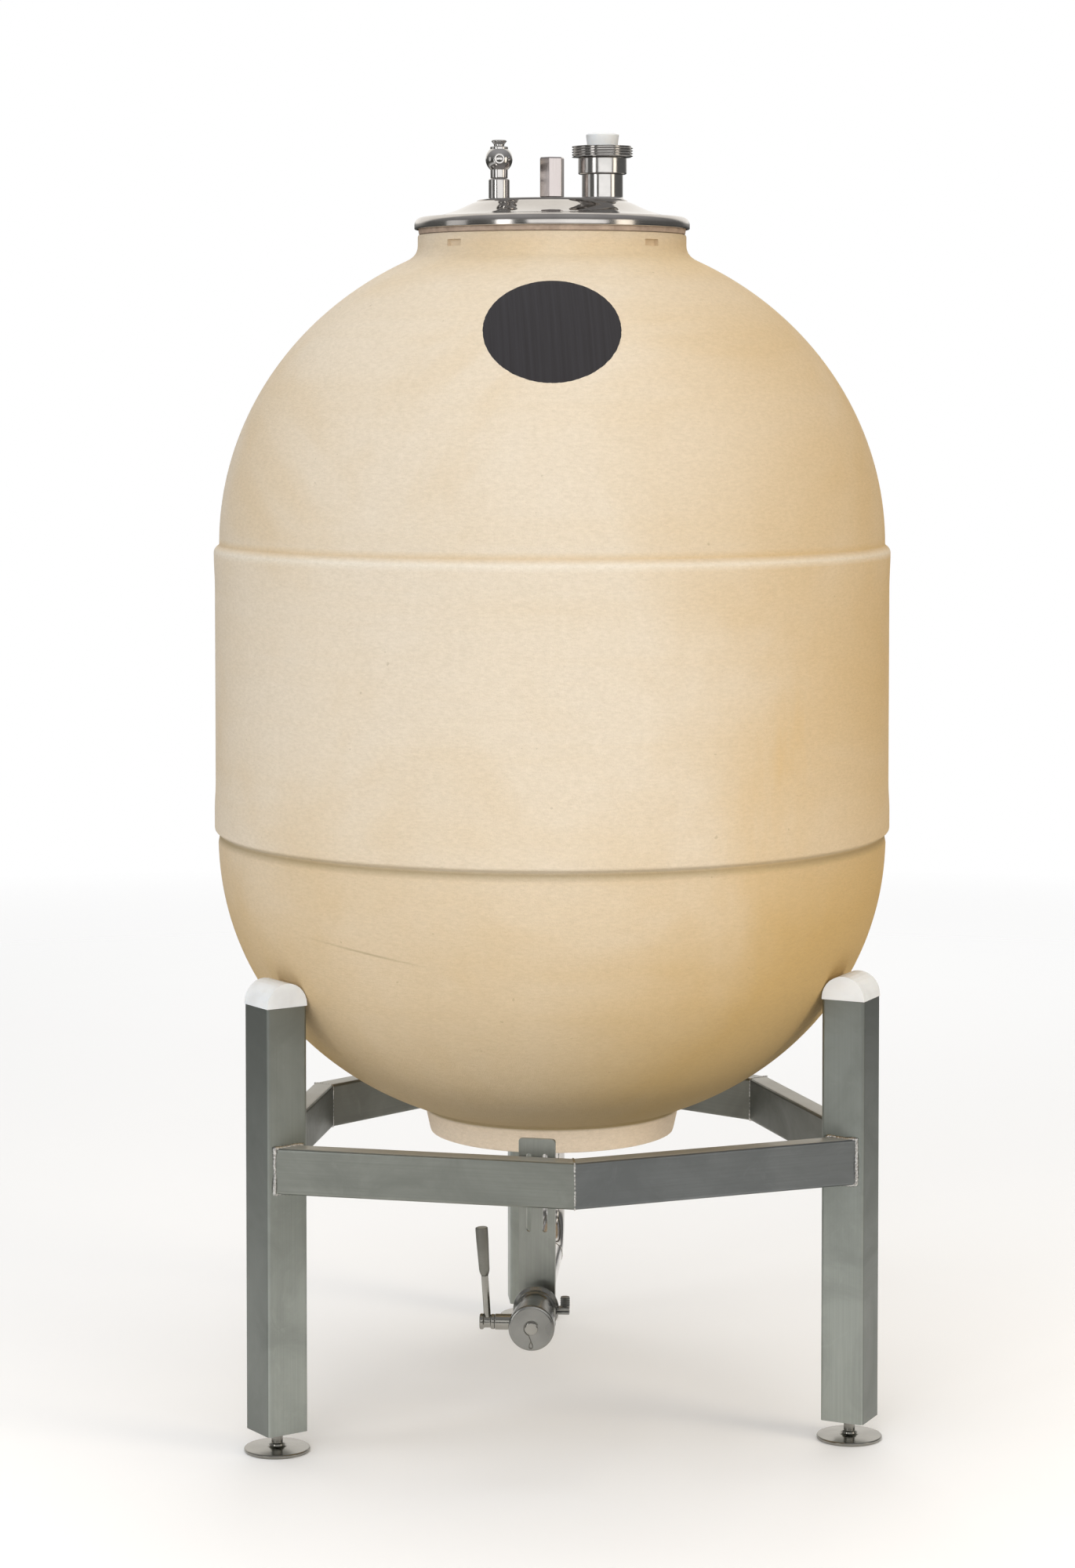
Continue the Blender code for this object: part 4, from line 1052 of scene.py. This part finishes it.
def make_bars():
    """The bars' finish, a bead where each bar meets its leg, and a finer one round each free corner."""
    half = BAR_THICKNESS / 2
    corner_runs = {}
    for number, (name, (corner_azimuth, side)) in enumerate(BARS.items()):
        corner, seat, run, normal = bar_run(corner_azimuth, side)
        corner_runs[corner_azimuth] = run
        heading = degrees(atan2(run.y, run.x))
        # Each bar has its own copy of the steel, painted lighter on the front bars
        tint = BAR_LIT_TINTS.get(name, BAR_TINT)
        finish_node(name, brushed_material(f"brushed_{name}", (5.0, 380.0, 380.0), heading, tint))
        low, high, _, _ = size_of(name)
        across = Vector((-run.y, run.x, 0.0))
        outline = []
        for shift, height in ((-half, low), (half, low), (half, high), (-half, high)):
            start = corner + across * shift
            reach = (seat - start).dot(normal) / run.dot(normal)
            outline.append(start + run * (reach - 0.0004) + UP * height)
        weld(f"weld_{name}_leg", outline, seed=number * 3.7)
    low, high, _, _ = size_of("bar_front_left")
    top, bottom = UP * (high - 0.0006), UP * (low + 0.0006)
    for number, (azimuth, run) in enumerate(corner_runs.items()):
        corner, radial = polar(azimuth, BAR_CORNER_RADIUS), polar(azimuth)
        reach = half / abs(Vector((-run.y, run.x, 0.0)).dot(radial))
        outer, inner = corner + radial * (reach - 0.0012), corner - radial * (reach - 0.0012)
        outline = [outer + bottom, outer + top, inner + top, inner + bottom]
        weld(f"weld_corner_{number}", outline, radius=0.0015, seed=20.0 + number)


make_legs()
make_bars()


# Drain


def drain_matrix(distance):
    """Local Z runs along the drain line, away from the tank, from a distance to the tank's axis."""
    return aimed(along_drain(distance), DRAIN)


def make_pipe():
    """The pipe from the vessel's bottom round a bend to the clamp, with a seam where the bend ends."""
    path = [UP * PIPE_TOP_Z, UP * (DRAIN_Z + ELBOW_RADIUS + 0.03)]
    for across, down in arc((0.0, 0.0), ELBOW_RADIUS, 180.0, 270.0, 20):
        path.append(DRAIN * (ELBOW_RADIUS + across) + UP * (DRAIN_Z + ELBOW_RADIUS + down))
    path.append(along_drain(CLAMP_START - 0.0005))
    bm = tube_bmesh(path, [PIPE_RADIUS] * len(path), 48)
    place(object_from("drain_pipe_bent", bm), POLISHED, ("drain_pipe",), angle=50.0)
    ring = [(PIPE_RADIUS - 0.001, 0.003), (PIPE_RADIUS + 0.0007, 0.0015), (PIPE_RADIUS - 0.001, 0.0)]
    seam = (WELD[0], "polished_steel")
    turned("weld_elbow", ring, seam, (), drain_matrix(ELBOW_RADIUS + 0.001), closed=True, reach=0.0)
    finish_node("outlet_flange", UPRIGHT)
    finish_node("drain_bracket", PLATE)


def make_clamp():
    """The clamp's ring with its two lugs and its nut."""
    width = CLAMP_END - CLAMP_START
    radius = CLAMP_RADIUS
    ring = [(0.0, width), (radius - 0.005, width), (radius - 0.0012, width - 0.0042)]
    ring += [(radius, width - 0.0055), (radius, 0.0055), (radius - 0.0012, 0.0042)]
    ring += [(radius - 0.005, 0.0), (0.0, 0.0)]
    turned("clamp_ring_turned", ring, SATIN, ("clamp_ring",), drain_matrix(CLAMP_START), reach=0.0004)
    middle = (CLAMP_START + CLAMP_END) / 2
    turn = Matrix.Rotation(radians(DRAIN_AZIMUTH + 90.0), 4, "Z")
    for name, up in (("clamp_lug_upper", 0.001), ("clamp_lug_lower", -0.004)):
        spot = Matrix.Translation(along_drain(middle, -radius - 0.0042, up)) @ turn
        place(object_from(name, block_bmesh((0.019, 0.0125, 0.004), 0.0009), spot), SATIN, angle=25.0)
    make_nut(along_drain(middle, -radius - 0.008, 0.0043))


def make_nut(foot):
    """A nut with teeth round it and four grooves."""
    bm = bmesh.new()
    steps = ((0.0, 0.80), (0.0012, 1.0), (0.0026, 0.80), (0.004, 1.0), (0.0054, 0.80), (0.0068, 1.0))
    steps += ((0.0082, 0.80), (0.0096, 1.0), (0.0108, 0.80), (0.0119, 0.92))
    rings = []
    for height, grow in steps:
        outer = NUT_RADIUS * grow
        rings.append(add_ring(bm, [outer * 0.84, outer] * NUT_TEETH, height))
    skin(bm, rings, capped=True)
    place(object_from("clamp_nut_toothed", bm, Matrix.Translation(foot)), SATIN, ("clamp_nut",), angle=20.0)


def make_valve():
    start = CLAMP_END + 0.0003
    length = VALVE_END - start
    radius = VALVE_RADIUS
    body = [(0.0, length), (radius, length), (radius, length - 0.028), (radius - 0.0038, length - 0.035)]
    body += [(radius - 0.004, 0.009), (radius - 0.001, 0.005), (radius - 0.001, 0.0), (0.0, 0.0)]
    turned("valve_body_turned", body, SATIN, ("valve_body",), drain_matrix(start), reach=0.001)
    boss = [(0.0, STEM_OUT), (STEM_RADIUS - 0.0004, STEM_OUT), (STEM_RADIUS, STEM_OUT - 0.0006)]
    boss += [(STEM_RADIUS, 0.0255), (STEM_RADIUS + 0.0016, 0.0235), (STEM_RADIUS + 0.0016, 0.015)]
    boss += [(0.0, 0.015)]
    stem = aimed(along_drain(STEM_DISTANCE), DRAIN_LEFT)
    turned("valve_stem_boss", boss, TURNED_SATIN, (), stem, SMALL_SIDES)


def make_cap():
    start = VALVE_END + 0.0003
    thick = CAP_END - start
    radius = CAP_RADIUS
    cap = [(0.0, thick), (radius - 0.0032, thick - 0.0002), (radius - 0.0008, thick - 0.0012)]
    cap += [(radius, thick - 0.0032), (radius, 0.001), (radius - 0.0008, 0.0), (0.0, 0.0)]
    turned("valve_cap_turned", cap, SATIN, ("valve_cap",), drain_matrix(start))
    knob = [(0.0, 0.002), (0.007, 0.0019), (0.0082, 0.0012), (0.0086, -0.0005), (0.0, -0.0005)]
    turned("valve_cap_boss", knob, TURNED_SATIN, (), drain_matrix(CAP_END), SMALL_SIDES, reach=0.0003)
    make_cap_wire()


def make_cap_wire():
    """A thin wire round the cap's boss that runs down into a small drop-shaped eye."""
    wire = 0.00055
    proud = CAP_END + 0.0005
    turn = [along_drain(proud, x, z) for x, z in arc((0.0, 0.0), 0.0094, 150.0, -70.0, 26)]
    last = turn[-1]
    eye = []
    for i in range(25):
        angle = 2 * pi * i / 24
        widen = sin(angle / 2) ** 1.4
        sideways = 0.0005 - 0.0031 * sin(angle) * widen
        eye.append(along_drain(proud, sideways, -0.0165 - 0.0046 * (1 - cos(angle))))
    path = turn + [last.lerp(eye[0], 0.33), last.lerp(eye[0], 0.66)] + eye
    place(object_from("valve_cap_wire", tube_bmesh(path, [wire] * len(path))), GRIP, angle=60.0)


def make_lever():
    """The hub, the rod and the grip, which turn on the valve's stem."""
    seat = along_drain(STEM_DISTANCE, STEM_OUT + 0.0005)
    length = HUB_OUT - STEM_OUT
    radius = STEM_RADIUS
    hub = [(0.0, length), (radius - 0.0009, length), (radius, length - 0.001), (radius, length - 0.0042)]
    hub += [(radius - 0.0022, length - 0.006), (radius - 0.0024, 0.0058), (radius - 0.0004, 0.004)]
    hub += [(radius - 0.0004, 0.0004), (radius - 0.0012, 0.0), (0.0, 0.0)]
    turned("lever_hub_turned", hub, TURNED_SATIN, ("lever_hub",), aimed(seat, DRAIN_LEFT), SMALL_SIDES,
           reach=0.0008, body="valve_lever")
    tilt = radians(LEVER_TILT)
    rise = UP * cos(tilt) + DRAIN_LEFT * sin(tilt)
    middle = along_drain(STEM_DISTANCE, (STEM_OUT + HUB_OUT) / 2)
    top = GRIP_START - 0.0003
    rod = [(0.0, top), (ROD_RADIUS, top), (ROD_RADIUS, 0.006), (0.0, 0.006)]
    turned("lever_rod_turned", rod, TURNED_SATIN, ("lever_rod",), aimed(middle, rise), SMALL_SIDES,
           body="valve_lever")
    long = GRIP_END - GRIP_START
    grip = [(0.0, long), (0.0066, long - 0.0001), (0.0077, long - 0.0008), (0.008, long - 0.003)]
    grip += [(0.0078, long * 0.72), (0.0072, long * 0.40), (0.0067, 0.0075), (0.0063, 0.0045)]
    grip += [(0.0051, 0.0008), (0.0048, 0.0), (0.0, 0.0)]
    spot = aimed(middle + rise * GRIP_START, rise)
    turned("lever_grip_turned", grip, GRIP, ("lever_grip",), spot, SMALL_SIDES,
           reach=0.0008, body="valve_lever")


make_pipe()
make_clamp()
make_valve()
make_cap()
make_lever()


# Floor, light and camera


def make_floor():
    """A pale floor that fades into the backdrop far from the tank."""
    bm = bmesh.new()
    bmesh.ops.create_circle(bm, cap_ends=True, segments=128, radius=FLOOR_RADIUS)
    floor = object_from("floor", bm)
    pale = Shader("pale_floor", 0.9)
    tone = pale.tint((0.945, 0.945, 0.945), (0.935, 0.935, 0.935), pale.noise(3.0, 3.0))
    pale.fill(pale.base.inputs["Base Color"], tone)
    far = pale.ramp(pale.length(pale.place), FLOOR_FADE_START, FLOOR_RADIUS)
    clear = pale.add("ShaderNodeBsdfTransparent").outputs["BSDF"]
    faded = pale.mix_shaders(far, pale.base.outputs["BSDF"], clear)
    pale.fill(pale.tree.nodes["Material Output"].inputs["Surface"], faded)
    coat(floor, pale.material)


def add_light(name, spot, aim_height, size, power, color=(1.0, 1.0, 1.0), mirrored=True):
    """A soft rectangular light that points at the tank's axis at a height.

    One that isn't mirrored lights the clay and the floor but isn't seen in steel.
    """
    light = bpy.data.lights.new(name, "AREA")
    light.shape = "RECTANGLE"
    light.size, light.size_y = size
    light.energy = power
    light.color = color
    thing = linked(name, light)
    thing.location = spot
    thing.rotation_euler = (UP * aim_height - Vector(spot)).to_track_quat("-Z", "Y").to_euler()
    thing.visible_glossy = mirrored


def make_backdrop():
    """A white backdrop, and a dim room with a pale wall behind the tank that only the steel and clay see."""
    world = bpy.data.worlds.new("studio")
    bpy.context.scene.world = world
    world.use_nodes = True
    studio = Nodes(world.node_tree)
    direction = studio.add("ShaderNodeTexCoord").outputs["Generated"]
    parts = studio.add("ShaderNodeSeparateXYZ", Vector=direction).outputs
    rise = studio.ramp(parts["Z"], *ROOM_RISE)
    leaning = studio.math("ADD", parts["Y"], studio.product(parts["Z"], WALL_LEAN))
    upper = studio.ramp(leaning, *WALL_EDGE, kind="SMOOTHSTEP")
    lower = studio.ramp(parts["Z"], *WALL_FOOT, kind="SMOOTHSTEP")
    seen_room = studio.tint(studio.mix(rise, ROOM_LOW, ROOM_HIGH), WALL_BEHIND, upper, lower)
    room = studio.add("ShaderNodeBackground", Color=seen_room).outputs["Background"]
    white = studio.add("ShaderNodeBackground", Color=BACKDROP).outputs["Background"]
    straight = studio.add("ShaderNodeLightPath").outputs["Is Camera Ray"]
    seen = studio.mix_shaders(straight, room, white)
    studio.fill(studio.tree.nodes["World Output"].inputs["Surface"], seen)


def make_light():
    """Wide soft lights from the front and above, a warm side on the right and some light from behind."""
    bpy.context.scene.view_settings.view_transform = "Standard"
    make_backdrop()
    add_light("key", (-1.4, -4.5, 2.3), 1.0, (2.8, 2.8), 88.0, mirrored=False)
    add_light("card", (0.7, -4.7, 2.0), 1.3, (6.2, 1.6), 38.0)
    add_light("top", (0.0, -0.2, 4.6), 0.0, (3.0, 3.0), 50.0, mirrored=False)
    add_light("left_side", (-2.8, -2.9, 1.4), 1.0, (0.9, 2.4), 17.0)
    add_light("left_card", (-4.4, 0.0, 1.8), 1.6, (1.7, 1.8), 6.0)
    add_light("left_fill", (-3.5, -1.2, 2.7), 1.2, (1.2, 1.6), 16.0, mirrored=False)
    add_light("warm_side", (3.4, -2.2, 1.5), 1.0, (1.1, 2.4), 16.0, (1.0, 0.92, 0.80))
    add_light("warm_fill", (3.4, -2.2, 2.0), 1.1, (1.6, 2.4), 46.0, (1.0, 0.87, 0.68), mirrored=False)
    add_light("back", (0.8, 4.4, 2.6), 1.0, (2.8, 2.4), 45.0, mirrored=False)


def make_camera():
    data = bpy.data.cameras.new("camera")
    data.lens = CAMERA_LENS
    data.sensor_width = 36.0
    data.shift_y = CAMERA_SHIFT
    data.clip_end = 100.0
    camera = linked("camera", data)
    azimuth = radians(CAMERA_AZIMUTH)
    camera.location = (CAMERA_DISTANCE * sin(azimuth), -CAMERA_DISTANCE * cos(azimuth), CAMERA_HEIGHT)
    camera.rotation_euler = (radians(90.0 - CAMERA_PITCH), 0.0, azimuth + radians(CAMERA_YAW))
    bpy.context.scene.camera = camera


make_floor()
make_light()
make_camera()
